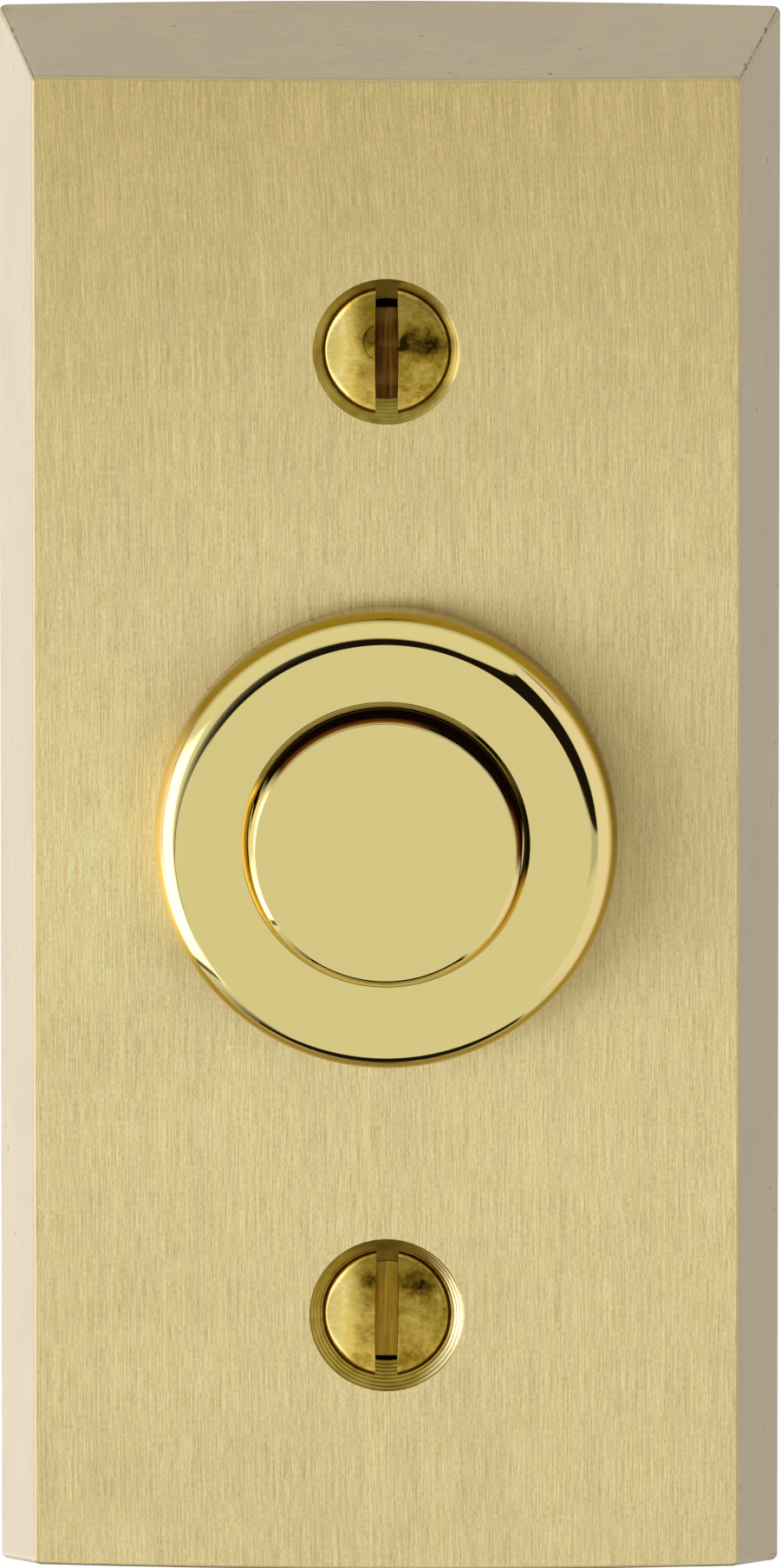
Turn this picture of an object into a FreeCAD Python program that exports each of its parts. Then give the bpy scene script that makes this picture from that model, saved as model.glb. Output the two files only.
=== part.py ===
import FreeCAD, Part
import os
import Sketcher

# Doorbell push button: a cast plate that stands on a wall, with a round sprung button in a polished ring.
# Every piece is drawn with its own z axis pointing out of the wall, x to the right and y up the wall.
# A height is a distance from the plate's back face, which lies on the wall.
# The origin is on the button's axis, midway between the two screws. The plate's middle lies a little
# above it.

doc = FreeCAD.newDocument("doorbell_push")
sheet = doc.addObject("Spreadsheet::Sheet", "Dims")

DRIVING = [
    # Cast plate
    ("plate_width", 41.2),
    ("plate_height", 83.4),
    ("plate_depth", 12.0),
    ("side_inset", 2.0),
    ("top_bow", 0.25),
    ("bottom_bow", 0.35),
    ("face_top_sag", 0.15),
    ("face_bottom_bow", 0.25),
    ("plate_corner", 0.4),
    ("face_edge_round", 0.2),
    ("side_wall", 2.2),
    ("front_wall", 3.0),
    ("cavity_corner", 3.0),
    ("plate_rise", 0.6),
    # Wood screws and their holes
    ("screw_spacing", 51.4),
    ("shank_diameter", 3.5),
    ("core_diameter", 2.5),
    ("head_diameter", 6.53),
    ("head_land", 0.12),
    ("head_dome", 0.22),
    ("slot_width", 1.17),
    ("slot_depth", 0.95),
    ("screw_length", 32.0),
    ("thread_start", 0.05),
    ("runout_length", 0.5),
    ("point_length", 5.0),
    ("shank_clearance", 0.25),
    ("seat_clearance", 0.03),
    ("upper_sink_diameter", 7.75),
    ("lower_sink_diameter", 8.17),
    ("boss_diameter", 8.5),
    ("boss_relief", 0.4),
    # Ring with its barrel, washer and nut
    ("ring_width", 4.925),
    ("ring_height", 3.1),
    ("ring_round", 1.55),
    ("mouth_chamfer", 0.3),
    ("barrel_wall", 1.05),
    ("barrel_clearance", 0.15),
    ("barrel_beyond_nut", 0.25),
    ("bore_length", 4.7),
    ("thread_clearance", 0.05),
    ("washer_width", 1.75),
    ("washer_thickness", 0.5),
    ("nut_wall", 1.55),
    ("nut_thickness", 2.0),
    ("nut_chamfer", 0.5),
    # Button
    ("button_diameter", 14.35),
    ("button_clearance", 0.075),
    ("button_proud", 2.4),
    ("button_chamfer", 0.33),
    ("button_travel", 1.5),
    ("flange_width", 1.025),
    ("flange_thickness", 1.2),
    ("flange_clearance", 0.15),
    ("stop_clearance", 0.02),
    # Contact carrier, its screw and the bridging disc
    ("carrier_inset", 0.9),
    ("carrier_web", 0.8),
    ("hub_wall", 0.6),
    ("hub_lip", 0.45),
    ("hub_lip_thickness", 0.3),
    ("disc_inset", 0.4),
    ("disc_thickness", 0.4),
    ("disc_clearance", 0.05),
    ("carrier_screw_diameter", 2.5),
    ("carrier_screw_grip", 4.0),
    ("carrier_head_diameter", 4.2),
    ("carrier_head_height", 1.1),
    ("tap_allowance", 0.6),
    # Return spring
    ("spring_diameter", 6.2),
    ("spring_wire", 0.5),
    ("spring_turns", 4.5),
    ("spring_clearance", 0.02),
    ("spring_room", 0.3),
    # Moulded base
    ("base_margin", 3.3),
    ("base_gap", 1.2),
    ("base_thickness", 2.0),
    ("base_corner", 2.5),
    ("base_edge_chamfer", 0.3),
    ("recess_room", 0.6),
    ("recess_depth", 1.1),
    ("strip_seat", 0.2),
    ("barrier_width", 1.4),
    ("barrier_length", 15.0),
    ("barrier_height", 1.5),
    ("barrier_inset", 7.25),
    # Base screws and the posts that they enter
    ("post_inset", 3.25),
    ("post_length", 4.2),
    ("post_diameter", 6.0),
    ("machine_screw_diameter", 3.0),
    ("machine_head_diameter", 5.6),
    ("machine_head_height", 1.6),
    ("machine_slot_width", 0.8),
    ("machine_slot_depth", 0.8),
    ("machine_head_chamfer", 0.4),
    ("machine_clearance", 0.15),
    ("base_screw_length", 6.4),
    # Fixed contacts, their rivets and the terminals
    ("strip_width", 5.0),
    ("strip_thickness", 0.4),
    ("strip_lower_inset", 4.65),
    ("strip_upper_inset", 10.05),
    ("strip_clearance", 0.1),
    ("contact_inset", 0.9),
    ("contact_aside", 1.3),
    ("contact_diameter", 2.0),
    ("contact_height", 0.35),
    ("contact_chamfer", 0.25),
    ("rivet_inset", 2.6),
    ("rivet_diameter", 2.0),
    ("rivet_head_diameter", 3.6),
    ("rivet_head_height", 0.5),
    ("terminal_inset", 3.0),
    ("terminal_beyond_strip", 0.9),
    ("terminal_washer_size", 6.4),
    ("terminal_washer_thickness", 0.5),
    ("terminal_washer_corner", 0.8),
]

for row, (alias, number) in enumerate(DRIVING, start=1):
    sheet.set("A%d" % row, alias)
    sheet.set("B%d" % row, str(number))
    sheet.setAlias("B%d" % row, alias)
doc.recompute()

# Heights and places that follow from the driving dimensions
WALL_INSIDE = "(Dims.plate_depth - Dims.front_wall)"
RING_FRONT = "(Dims.plate_depth + Dims.ring_height)"
SHOULDER = "(%s - Dims.bore_length)" % RING_FRONT
BUTTON_FRONT = "(%s + Dims.button_proud)" % RING_FRONT
FLANGE_FRONT = "(%s - Dims.stop_clearance)" % SHOULDER
FLANGE_BACK = "(%s - Dims.flange_thickness)" % FLANGE_FRONT
BORE_RADIUS = "(Dims.button_diameter / 2 + Dims.button_clearance)"
RING_RADIUS = "(%s + Dims.ring_width)" % BORE_RADIUS
FLANGE_RADIUS = "(Dims.button_diameter / 2 + Dims.flange_width)"
CHAMBER_RADIUS = "(%s + Dims.flange_clearance)" % FLANGE_RADIUS
BARREL_RADIUS = "(%s + Dims.barrel_wall)" % CHAMBER_RADIUS
DISC_RADIUS = "(%s - Dims.disc_inset)" % FLANGE_RADIUS
HUB_BORE_RADIUS = "(Dims.spring_diameter / 2 + Dims.spring_room)"
HUB_RADIUS = "(%s + Dims.hub_wall)" % HUB_BORE_RADIUS
CONTACT_PLACE = "(%s - Dims.contact_inset)" % DISC_RADIUS
STRIP_PLACE = "(%s + Dims.contact_aside)" % CONTACT_PLACE
WASHER_BACK = "(%s - Dims.washer_thickness)" % WALL_INSIDE
NUT_BACK = "(%s - Dims.nut_thickness)" % WASHER_BACK
BARREL_END = "(%s - Dims.barrel_beyond_nut)" % NUT_BACK
BASE_FRONT = "(%s - Dims.post_length)" % WALL_INSIDE
BASE_BACK = "(%s - Dims.base_thickness)" % BASE_FRONT
STRIP_BACK = "(%s - Dims.strip_seat)" % BASE_FRONT
STRIP_FRONT = "(%s + Dims.strip_thickness)" % STRIP_BACK
CONTACT_FRONT = "(%s + Dims.contact_height)" % STRIP_FRONT
DISC_BACK = "(%s + Dims.button_travel + Dims.stop_clearance)" % CONTACT_FRONT
DISC_FRONT = "(%s + Dims.disc_thickness)" % DISC_BACK
WEB_BACK = "(%s - Dims.carrier_web)" % FLANGE_BACK
RECESS_FLOOR = "(%s - Dims.recess_depth)" % BASE_FRONT
DRAFT = "atan(Dims.side_inset / Dims.plate_depth)"
SCREW_HOLE = "(Dims.shank_diameter + 2 * Dims.shank_clearance)"
MACHINE_HOLE = "(Dims.machine_screw_diameter + 2 * Dims.machine_clearance)"
MACHINE_TAPPED = "(Dims.machine_screw_diameter + 2 * Dims.thread_clearance)"
RIVET_HOLE = "(Dims.rivet_diameter + 2 * Dims.thread_clearance)"
SCREW_PLACE = "(Dims.screw_spacing / 2)"
BASE_END = "(%s - Dims.boss_diameter / 2 - Dims.base_gap)" % SCREW_PLACE
BASE_SIDE = "(%s + Dims.strip_width / 2 + Dims.base_margin)" % STRIP_PLACE
POST_PLACE = "(%s - Dims.post_inset)" % BASE_END
STRIP_BOTTOM = "(Dims.strip_lower_inset - %s)" % BASE_END
STRIP_TOP = "(%s - Dims.strip_upper_inset)" % BASE_END
TERMINAL_PLACE = "(%s + Dims.terminal_inset)" % STRIP_BOTTOM
RIVET_PLACE = "(%s - Dims.rivet_inset)" % STRIP_TOP
BARRIER_PLACE = "(Dims.barrier_inset + Dims.barrier_length / 2 - %s)" % BASE_END
DOME = "dome"
NEAR = 0.01
WIRE_FLATS = 8


def value(expression):
    """The number that an expression gives with the sheet as it is."""
    result = sheet.evalExpression(expression)
    return float(getattr(result, "Value", result))


def minus(expression):
    return "-(%s)" % expression


def new_body(label, up="0", right="0"):
    """A body whose z axis points out of the wall, set right and up from the button's axis."""
    body = doc.addObject("PartDesign::Body", label)
    body.Label = label
    body.Placement = FreeCAD.Placement(
        FreeCAD.Vector(value(right), 0, value(up)),
        FreeCAD.Rotation(FreeCAD.Vector(1, 0, 0), 90),
    )
    body.setExpression("Placement.Base.x", right)
    body.setExpression("Placement.Base.z", up)
    return body


def new_sketch(body, name, plane="XY_Plane", height="0"):
    """An empty sketch on one of the body's own planes, raised to a height."""
    sketch = body.newObject("Sketcher::SketchObject", name)
    origin_plane = [part for part in body.Origin.OriginFeatures if part.Role == plane][0]
    sketch.AttachmentSupport = [(origin_plane, "")]
    sketch.MapMode = "FlatFace"
    sketch.setExpression("AttachmentOffset.Base.z", height)
    return sketch


def hold_point(sketch, edge, end, across, along):
    """Tie one end of an edge, or a circle's centre, to a place given by two expressions."""
    for kind, axis, expression in (("DistanceX", -2, across), ("DistanceY", -1, along)):
        if abs(value(expression)) < 1e-9 and expression == "0":
            sketch.addConstraint(Sketcher.Constraint("PointOnObject", edge, end, axis))
            continue
        number = sketch.addConstraint(
            Sketcher.Constraint(kind, -1, 1, edge, end, value(expression))
        )
        sketch.setExpression("Constraints[%d]" % number, expression)


def arc_through(start, finish, rise):
    """The arc from start to finish, bulging by rise to the right of the way from one to the other."""
    middle = (start + finish) * 0.5
    way = finish - start
    aside = FreeCAD.Vector(way.y, -way.x, 0).normalize()
    return Part.ArcOfCircle(start, middle + aside * rise, finish)


def dome_bow(start, finish):
    """How far a dome's outline bows from the line between its rim and its crown."""
    rim_radius = max(abs(start.x), abs(finish.x))
    chord = start.distanceToPoint(finish)
    rise = abs(finish.y - start.y)
    return chord * chord / (2 * rise) * (1 - rim_radius / chord)


def outline(body, name, corners, plane="XY_Plane", height="0"):
    """A closed sketch through corners, each a pair of expressions.

    A third entry bows the edge that starts there. It is the bow's expression, outwards where that is
    positive on an outline that runs anticlockwise, or DOME, for an arc with its centre on the z axis.
    """
    sketch = new_sketch(body, name, plane, height)
    places = [FreeCAD.Vector(value(corner[0]), value(corner[1]), 0) for corner in corners]
    ends = []
    for number, corner in enumerate(corners):
        start = places[number]
        finish = places[(number + 1) % len(corners)]
        if len(corner) == 2:
            sketch.addGeometry(Part.LineSegment(start, finish), False)
            ends.append((1, 2))
            continue
        rise = dome_bow(start, finish) if corner[2] == DOME else value(corner[2])
        sketch.addGeometry(arc_through(start, finish, rise), False)
        ends.append((1, 2) if rise > 0 else (2, 1))
    for number, (first, last) in enumerate(ends):
        following = (number + 1) % len(corners)
        sketch.addConstraint(
            Sketcher.Constraint("Coincident", number, last, following, ends[following][0])
        )
        hold_point(sketch, number, first, corners[number][0], corners[number][1])
    for number, corner in enumerate(corners):
        if len(corner) == 3 and corner[2] == DOME:
            sketch.addConstraint(Sketcher.Constraint("PointOnObject", number, 3, -2))
        elif len(corner) == 3:
            other = corners[(number + 1) % len(corners)]
            chord = "((%s - (%s))^2 + (%s - (%s))^2)" % (other[0], corner[0], other[1], corner[1])
            radius = "%s / (8 * abs(%s)) + abs(%s) / 2" % (chord, corner[2], corner[2])
            place = sketch.addConstraint(Sketcher.Constraint("Radius", number, value(radius)))
            sketch.setExpression("Constraints[%d]" % place, radius)
    return sketch


def circles(body, name, places, diameter, height="0"):
    """A sketch of equal circles whose centres are pairs of expressions."""
    sketch = new_sketch(body, name, "XY_Plane", height)
    for number, (across, along) in enumerate(places):
        centre = FreeCAD.Vector(value(across), value(along), 0)
        up = FreeCAD.Vector(0, 0, 1)
        sketch.addGeometry(Part.Circle(centre, up, value(diameter) / 2), False)
        hold_point(sketch, number, 3, across, along)
        place = sketch.addConstraint(Sketcher.Constraint("Diameter", number, value(diameter)))
        sketch.setExpression("Constraints[%d]" % place, diameter)
    return sketch


def rectangle(across, along, right="0", up="0"):
    """The four corners of a rectangle, anticlockwise, from its size and its middle."""
    left_edge = "(%s - %s / 2)" % (right, across)
    right_edge = "(%s + %s / 2)" % (right, across)
    low_edge = "(%s - %s / 2)" % (up, along)
    high_edge = "(%s + %s / 2)" % (up, along)
    return [
        (left_edge, low_edge),
        (right_edge, low_edge),
        (right_edge, high_edge),
        (left_edge, high_edge),
    ]


def raise_from(body, sketch, length, name):
    """A pad from its sketch outwards."""
    pad = body.newObject("PartDesign::Pad", name)
    pad.Profile = sketch
    pad.setExpression("Length", length)
    return pad


def cut_from(body, sketch, length, name, outwards=False):
    """A pocket from its sketch towards the wall, or outwards, that has to take something away."""
    doc.recompute()
    before = body.Shape.Volume
    pocket = body.newObject("PartDesign::Pocket", name)
    pocket.Profile = sketch
    pocket.Reversed = outwards
    pocket.setExpression("Length", length)
    doc.recompute()
    if not body.Shape.Volume < before:
        raise RuntimeError("%s takes nothing away from %s" % (name, body.Label))
    return pocket


def turn(body, name, corners):
    """A revolved profile: each corner is a radius and a height."""
    profile = outline(body, name + "_profile", corners, "XZ_Plane")
    turned = body.newObject("PartDesign::Revolution", name)
    turned.Profile = profile
    turned.ReferenceAxis = (profile, ["V_Axis"])
    turned.Angle = 360
    return turned


def dress_edges(body, name, kind, chosen):
    """A fillet or chamfer on the edges of the body so far that chosen says yes to."""
    doc.recompute()
    base = body.Tip
    edges = ["Edge%d" % number for number, edge in enumerate(base.Shape.Edges, 1) if chosen(edge)]
    if not edges:
        raise RuntimeError("%s finds no edge on %s" % (name, body.Label))
    dressed = body.newObject("PartDesign::" + kind, name)
    dressed.Base = (base, edges)
    return dressed


def round_edges(body, name, radius, chosen):
    dress_edges(body, name, "Fillet", chosen).setExpression("Radius", radius)


def chamfer_edges(body, name, size, chosen):
    dress_edges(body, name, "Chamfer", chosen).setExpression("Size", size)


def rim(radius, height):
    """Says whether an edge is the round one of a radius at a height."""
    size = value(radius)
    level = value(height)

    def matches(edge):
        curve = edge.Curve
        return (
            isinstance(curve, Part.Circle)
            and abs(curve.Radius - size) < NEAR
            and abs(curve.Center.z - level) < NEAR
        )

    return matches


def level_edge(height):
    """Says whether an edge lies flat at a height."""
    level = value(height)

    def matches(edge):
        box = edge.BoundBox
        return abs(box.ZMin - level) < NEAR and abs(box.ZMax - level) < NEAR

    return matches


def upright(edge):
    """Says whether an edge is straight and stands out from the wall."""
    way = edge.Vertexes[-1].Point - edge.Vertexes[0].Point
    return way.Length > edge.Length - NEAR and abs(way.z) > 0.8 * way.Length


# Cast plate
def plate_blank(body):
    """The solid plate: a back outline with bowed ends, drawn in to a smaller face."""
    half_width = "(Dims.plate_width / 2)"
    half_height = "(Dims.plate_height / 2)"
    back = outline(
        body,
        "back_outline",
        [
            (minus(half_width), minus(half_height), "Dims.bottom_bow"),
            (half_width, minus(half_height)),
            (half_width, half_height, "Dims.top_bow"),
            (minus(half_width), half_height),
        ],
    )
    face_half_width = "(%s - Dims.side_inset)" % half_width
    face_half_height = "(%s - Dims.side_inset)" % half_height
    face = outline(
        body,
        "face_outline",
        [
            (minus(face_half_width), minus(face_half_height), "Dims.face_bottom_bow"),
            (face_half_width, minus(face_half_height)),
            (face_half_width, face_half_height, "-Dims.face_top_sag"),
            (minus(face_half_width), face_half_height),
        ],
        height="Dims.plate_depth",
    )
    blank = body.newObject("PartDesign::AdditiveLoft", "drafted_plate")
    blank.Profile = face
    blank.Sections = [back]
    blank.Ruled = True
    round_edges(body, "plate_corners", "Dims.plate_corner", upright)
    round_edges(body, "face_edge", "Dims.face_edge_round", level_edge("Dims.plate_depth"))


def plate_cavity(body):
    """The hollow back, with walls that follow the drafted sides."""
    opening = outline(
        body,
        "cavity_outline",
        rectangle(
            "(Dims.plate_width - 2 * Dims.side_wall)", "(Dims.plate_height - 2 * Dims.side_wall)"
        ),
    )
    cavity = cut_from(body, opening, WALL_INSIDE, "cavity", outwards=True)
    cavity.setExpression("TaperAngle", minus(DRAFT))
    mouth = value("Dims.plate_width / 2 - Dims.side_wall")
    floor = value(WALL_INSIDE)

    def cavity_corner(edge):
        middle = edge.CenterOfMass
        return upright(edge) and abs(middle.x) < mouth and abs(middle.z - floor / 2) < NEAR

    round_edges(body, "cavity_corners", "Dims.cavity_corner", cavity_corner)


def countersunk_hole(body, name, along, sink_diameter):
    """A screw hole from the face through its boss."""
    centre = circles(body, name + "_centre", [("0", along)], SCREW_HOLE, "Dims.plate_depth")
    doc.recompute()
    before = body.Shape.Volume
    hole = body.newObject("PartDesign::Hole", name)
    hole.Profile = centre
    hole.DepthType = "ThroughAll"
    hole.HoleCutType = "Countersink"
    hole.HoleCutCustomValues = True
    hole.HoleCutCountersinkAngle = 90
    hole.setExpression("Diameter", SCREW_HOLE)
    hole.setExpression("HoleCutDiameter", sink_diameter)
    doc.recompute()
    if not body.Shape.Volume < before:
        raise RuntimeError("%s takes nothing away" % name)


def case():
    body = new_body("case", up="Dims.plate_rise")
    plate_blank(body)
    plate_cavity(body)
    upper = "(%s - Dims.plate_rise)" % SCREW_PLACE
    lower = "(%s - Dims.plate_rise)" % minus(SCREW_PLACE)
    bosses = circles(
        body, "boss_outlines", [("0", upper), ("0", lower)], "Dims.boss_diameter", "Dims.boss_relief"
    )
    raise_from(body, bosses, "%s - Dims.boss_relief" % WALL_INSIDE, "bosses")
    upper_post = "(%s - Dims.plate_rise)" % POST_PLACE
    lower_post = "(%s - Dims.plate_rise)" % minus(POST_PLACE)
    posts = [("0", upper_post), ("0", lower_post)]
    post_outlines = circles(body, "post_outlines", posts, "Dims.post_diameter", BASE_FRONT)
    raise_from(body, post_outlines, "Dims.post_length", "posts")
    tapped = circles(body, "post_holes", posts, MACHINE_TAPPED, BASE_FRONT)
    depth = "Dims.base_screw_length - Dims.base_thickness + Dims.tap_allowance"
    cut_from(body, tapped, depth, "post_threads", outwards=True)
    countersunk_hole(body, "upper_hole", upper, "Dims.upper_sink_diameter")
    countersunk_hole(body, "lower_hole", lower, "Dims.lower_sink_diameter")
    barrel_hole = "(2 * (%s + Dims.barrel_clearance))" % BARREL_RADIUS
    middle = circles(
        body, "ring_hole_outline", [("0", "-Dims.plate_rise")], barrel_hole, "Dims.plate_depth"
    )
    cut_from(body, middle, "Dims.front_wall", "ring_hole")
    return body


# Ring, washer and nut
def bezel_ring():
    body = new_body("bezel_ring")
    turn(
        body,
        "ring_and_barrel",
        [
            (CHAMBER_RADIUS, BARREL_END),
            (BARREL_RADIUS, BARREL_END),
            (BARREL_RADIUS, "Dims.plate_depth"),
            (RING_RADIUS, "Dims.plate_depth"),
            (RING_RADIUS, RING_FRONT),
            (BORE_RADIUS, RING_FRONT),
            (BORE_RADIUS, SHOULDER),
            (CHAMBER_RADIUS, SHOULDER),
        ],
    )
    round_edges(body, "ring_shoulder", "Dims.ring_round", rim(RING_RADIUS, RING_FRONT))
    chamfer_edges(body, "ring_mouth", "Dims.mouth_chamfer", rim(BORE_RADIUS, RING_FRONT))
    return body


def bezel_washer():
    body = new_body("bezel_washer")
    inner = "(%s + Dims.barrel_clearance)" % BARREL_RADIUS
    outer = "(%s + Dims.washer_width)" % inner
    turn(
        body,
        "washer",
        [
            (inner, WASHER_BACK),
            (outer, WASHER_BACK),
            (outer, WALL_INSIDE),
            (inner, WALL_INSIDE),
        ],
    )
    return body


def bezel_nut():
    body = new_body("bezel_nut")
    bore_radius = "(%s + Dims.thread_clearance)" % BARREL_RADIUS
    flat = "(%s + Dims.nut_wall)" % bore_radius
    corner = "(%s / cos(30 deg))" % flat
    half_flat = "(%s / 2)" % corner
    hexagon = outline(
        body,
        "nut_outline",
        [
            (corner, "0"),
            (half_flat, flat),
            (minus(half_flat), flat),
            (minus(corner), "0"),
            (minus(half_flat), minus(flat)),
            (half_flat, minus(flat)),
        ],
        height=NUT_BACK,
    )
    raise_from(body, hexagon, "Dims.nut_thickness", "nut_blank")
    bore = circles(body, "nut_bore_outline", [("0", "0")], "2 * %s" % bore_radius, WASHER_BACK)
    cut_from(body, bore, "Dims.nut_thickness", "nut_bore")
    doc.recompute()
    before = body.Shape.Volume
    beyond = "(%s + Dims.nut_chamfer)" % corner
    profile = outline(
        body,
        "nut_chamfer_profile",
        [
            (flat, NUT_BACK),
            (beyond, "(%s - Dims.nut_chamfer)" % NUT_BACK),
            (beyond, "(%s + (%s - %s) * tan(30 deg))" % (NUT_BACK, beyond, flat)),
        ],
        "XZ_Plane",
    )
    chamfer = body.newObject("PartDesign::Groove", "nut_corners")
    chamfer.Profile = profile
    chamfer.ReferenceAxis = (profile, ["V_Axis"])
    chamfer.Angle = 360
    doc.recompute()
    if not body.Shape.Volume < before:
        raise RuntimeError("nut_corners takes nothing away")
    return body


# Button and what moves with it
def button():
    body = new_body("button")
    stem = "Dims.button_diameter / 2"
    tapped = "(Dims.carrier_screw_diameter / 2 + Dims.thread_clearance)"
    tapped_end = "(%s + Dims.carrier_screw_grip + Dims.tap_allowance)" % FLANGE_BACK
    turn(
        body,
        "button_blank",
        [
            (tapped, FLANGE_BACK),
            (FLANGE_RADIUS, FLANGE_BACK),
            (FLANGE_RADIUS, FLANGE_FRONT),
            (stem, FLANGE_FRONT),
            (stem, BUTTON_FRONT),
            ("0", BUTTON_FRONT),
            ("0", tapped_end),
            (tapped, tapped_end),
        ],
    )
    chamfer_edges(body, "button_edge", "Dims.button_chamfer", rim(stem, BUTTON_FRONT))
    return body


def contact_carrier():
    body = new_body("contact_carrier")
    outer = "(%s - Dims.carrier_inset)" % FLANGE_RADIUS
    hole = "(Dims.carrier_screw_diameter / 2 + Dims.thread_clearance)"
    lip = "(%s + Dims.hub_lip)" % HUB_RADIUS
    lip_front = "(%s - Dims.disc_clearance)" % DISC_BACK
    lip_back = "(%s - Dims.hub_lip_thickness)" % lip_front
    turn(
        body,
        "carrier",
        [
            (HUB_BORE_RADIUS, lip_back),
            (lip, lip_back),
            (lip, lip_front),
            (HUB_RADIUS, lip_front),
            (HUB_RADIUS, DISC_FRONT),
            (outer, DISC_FRONT),
            (outer, FLANGE_BACK),
            (hole, FLANGE_BACK),
            (hole, WEB_BACK),
            (HUB_BORE_RADIUS, WEB_BACK),
        ],
    )
    return body


def bridge_disc():
    body = new_body("bridge_disc")
    inner = "(%s + Dims.disc_clearance)" % HUB_RADIUS
    turn(
        body,
        "disc",
        [
            (inner, DISC_BACK),
            (DISC_RADIUS, DISC_BACK),
            (DISC_RADIUS, DISC_FRONT),
            (inner, DISC_FRONT),
        ],
    )
    return body


def pan_screw(label, shank, head, head_height, seat, reach, along="0", right="0"):
    """A slotted pan-head screw whose head points to the wall, seated at a height."""
    body = new_body(label, up=along, right=right)
    head_back = "(%s - %s)" % (seat, head_height)
    share = "%s / Dims.machine_head_height" % head_height
    chamfer = "(Dims.machine_head_chamfer * %s)" % share
    turn(
        body,
        "screw",
        [
            ("0", head_back),
            ("(%s / 2 - %s)" % (head, chamfer), head_back),
            ("%s / 2" % head, "(%s + %s)" % (head_back, chamfer)),
            ("%s / 2" % head, seat),
            ("%s / 2" % shank, seat),
            ("%s / 2" % shank, "(%s + %s)" % (seat, reach)),
            ("0", "(%s + %s)" % (seat, reach)),
        ],
    )
    slot = outline(
        body,
        "slot_outline",
        rectangle("(%s + Dims.machine_slot_width)" % head, "Dims.machine_slot_width"),
        height=head_back,
    )
    cut_from(body, slot, "Dims.machine_slot_depth * %s" % share, "slot", outwards=True)
    return body


def carrier_screw():
    return pan_screw(
        "carrier_screw",
        "Dims.carrier_screw_diameter",
        "Dims.carrier_head_diameter",
        "Dims.carrier_head_height",
        WEB_BACK,
        "(Dims.carrier_web + Dims.carrier_screw_grip)",
    )


def return_spring():
    """A coil between the base's recess and the carrier's web, its round wire drawn with eight flats."""
    body = new_body("return_spring")
    centre = "((Dims.spring_diameter - Dims.spring_wire) / 2)"
    low = "(%s + Dims.spring_wire / 2 + Dims.spring_clearance)" % RECESS_FLOOR
    high = "(%s - Dims.spring_wire / 2 - Dims.spring_clearance)" % WEB_BACK
    corner = "(Dims.spring_wire / 2 / cos(%s deg))" % (180 / WIRE_FLATS)
    section = []
    for number in range(WIRE_FLATS):
        angle = 360 / WIRE_FLATS * (number + 0.5)
        across = "(%s + %s * cos(%s deg))" % (centre, corner, angle)
        along = "(%s + %s * sin(%s deg))" % (low, corner, angle)
        section.append((across, along))
    profile = outline(body, "wire_section", section, "XZ_Plane")
    coil = body.newObject("PartDesign::AdditiveHelix", "coil")
    coil.Profile = profile
    coil.ReferenceAxis = (profile, ["V_Axis"])
    coil.Mode = "height-turns-angle"
    coil.setExpression("Height", "%s - %s" % (high, low))
    coil.setExpression("Turns", "Dims.spring_turns")
    return body


# Moulded base with the fixed contacts
def strip_corners(side, clearance="0"):
    """The outline of a contact strip's place on the right (1) or the left (-1)."""
    across = "(Dims.strip_width + 2 * %s)" % clearance
    along = "(%s - %s + 2 * %s)" % (STRIP_TOP, STRIP_BOTTOM, clearance)
    middle = "((%s + %s) / 2)" % (STRIP_TOP, STRIP_BOTTOM)
    return rectangle(across, along, "(%d * %s)" % (side, STRIP_PLACE), middle)


def contact_base():
    body = new_body("contact_base")
    plate = outline(
        body,
        "base_outline",
        rectangle("(2 * %s)" % BASE_SIDE, "(2 * %s)" % BASE_END),
        height=BASE_BACK,
    )
    raise_from(body, plate, "Dims.base_thickness", "base_plate")
    round_edges(body, "base_corners", "Dims.base_corner", upright)
    chamfer_edges(body, "base_edge", "Dims.base_edge_chamfer", level_edge(BASE_BACK))
    barrier = outline(
        body,
        "barrier_outline",
        rectangle("Dims.barrier_width", "Dims.barrier_length", "0", BARRIER_PLACE),
        height="%s - Dims.barrier_height" % BASE_BACK,
    )
    raise_from(body, barrier, "Dims.barrier_height", "barrier")
    recess_size = "(Dims.spring_diameter + 2 * Dims.recess_room)"
    recess = circles(body, "recess_outline", [("0", "0")], recess_size, BASE_FRONT)
    cut_from(body, recess, "Dims.recess_depth", "spring_recess")
    for side, name in ((-1, "left"), (1, "right")):
        seat = outline(
            body,
            name + "_seat_outline",
            strip_corners(side, "Dims.strip_clearance"),
            height=BASE_FRONT,
        )
        cut_from(body, seat, "Dims.strip_seat", name + "_strip_seat")
    screws = [
        ("0", POST_PLACE),
        ("0", minus(POST_PLACE)),
        (STRIP_PLACE, TERMINAL_PLACE),
        (minus(STRIP_PLACE), TERMINAL_PLACE),
    ]
    screw_holes = circles(body, "screw_hole_outlines", screws, MACHINE_HOLE, BASE_FRONT)
    cut_from(body, screw_holes, "Dims.base_thickness", "screw_holes")
    rivets = [(STRIP_PLACE, RIVET_PLACE), (minus(STRIP_PLACE), RIVET_PLACE)]
    rivet_holes = circles(body, "rivet_hole_outlines", rivets, RIVET_HOLE, BASE_FRONT)
    cut_from(body, rivet_holes, "Dims.base_thickness", "rivet_holes")
    return body


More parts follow.
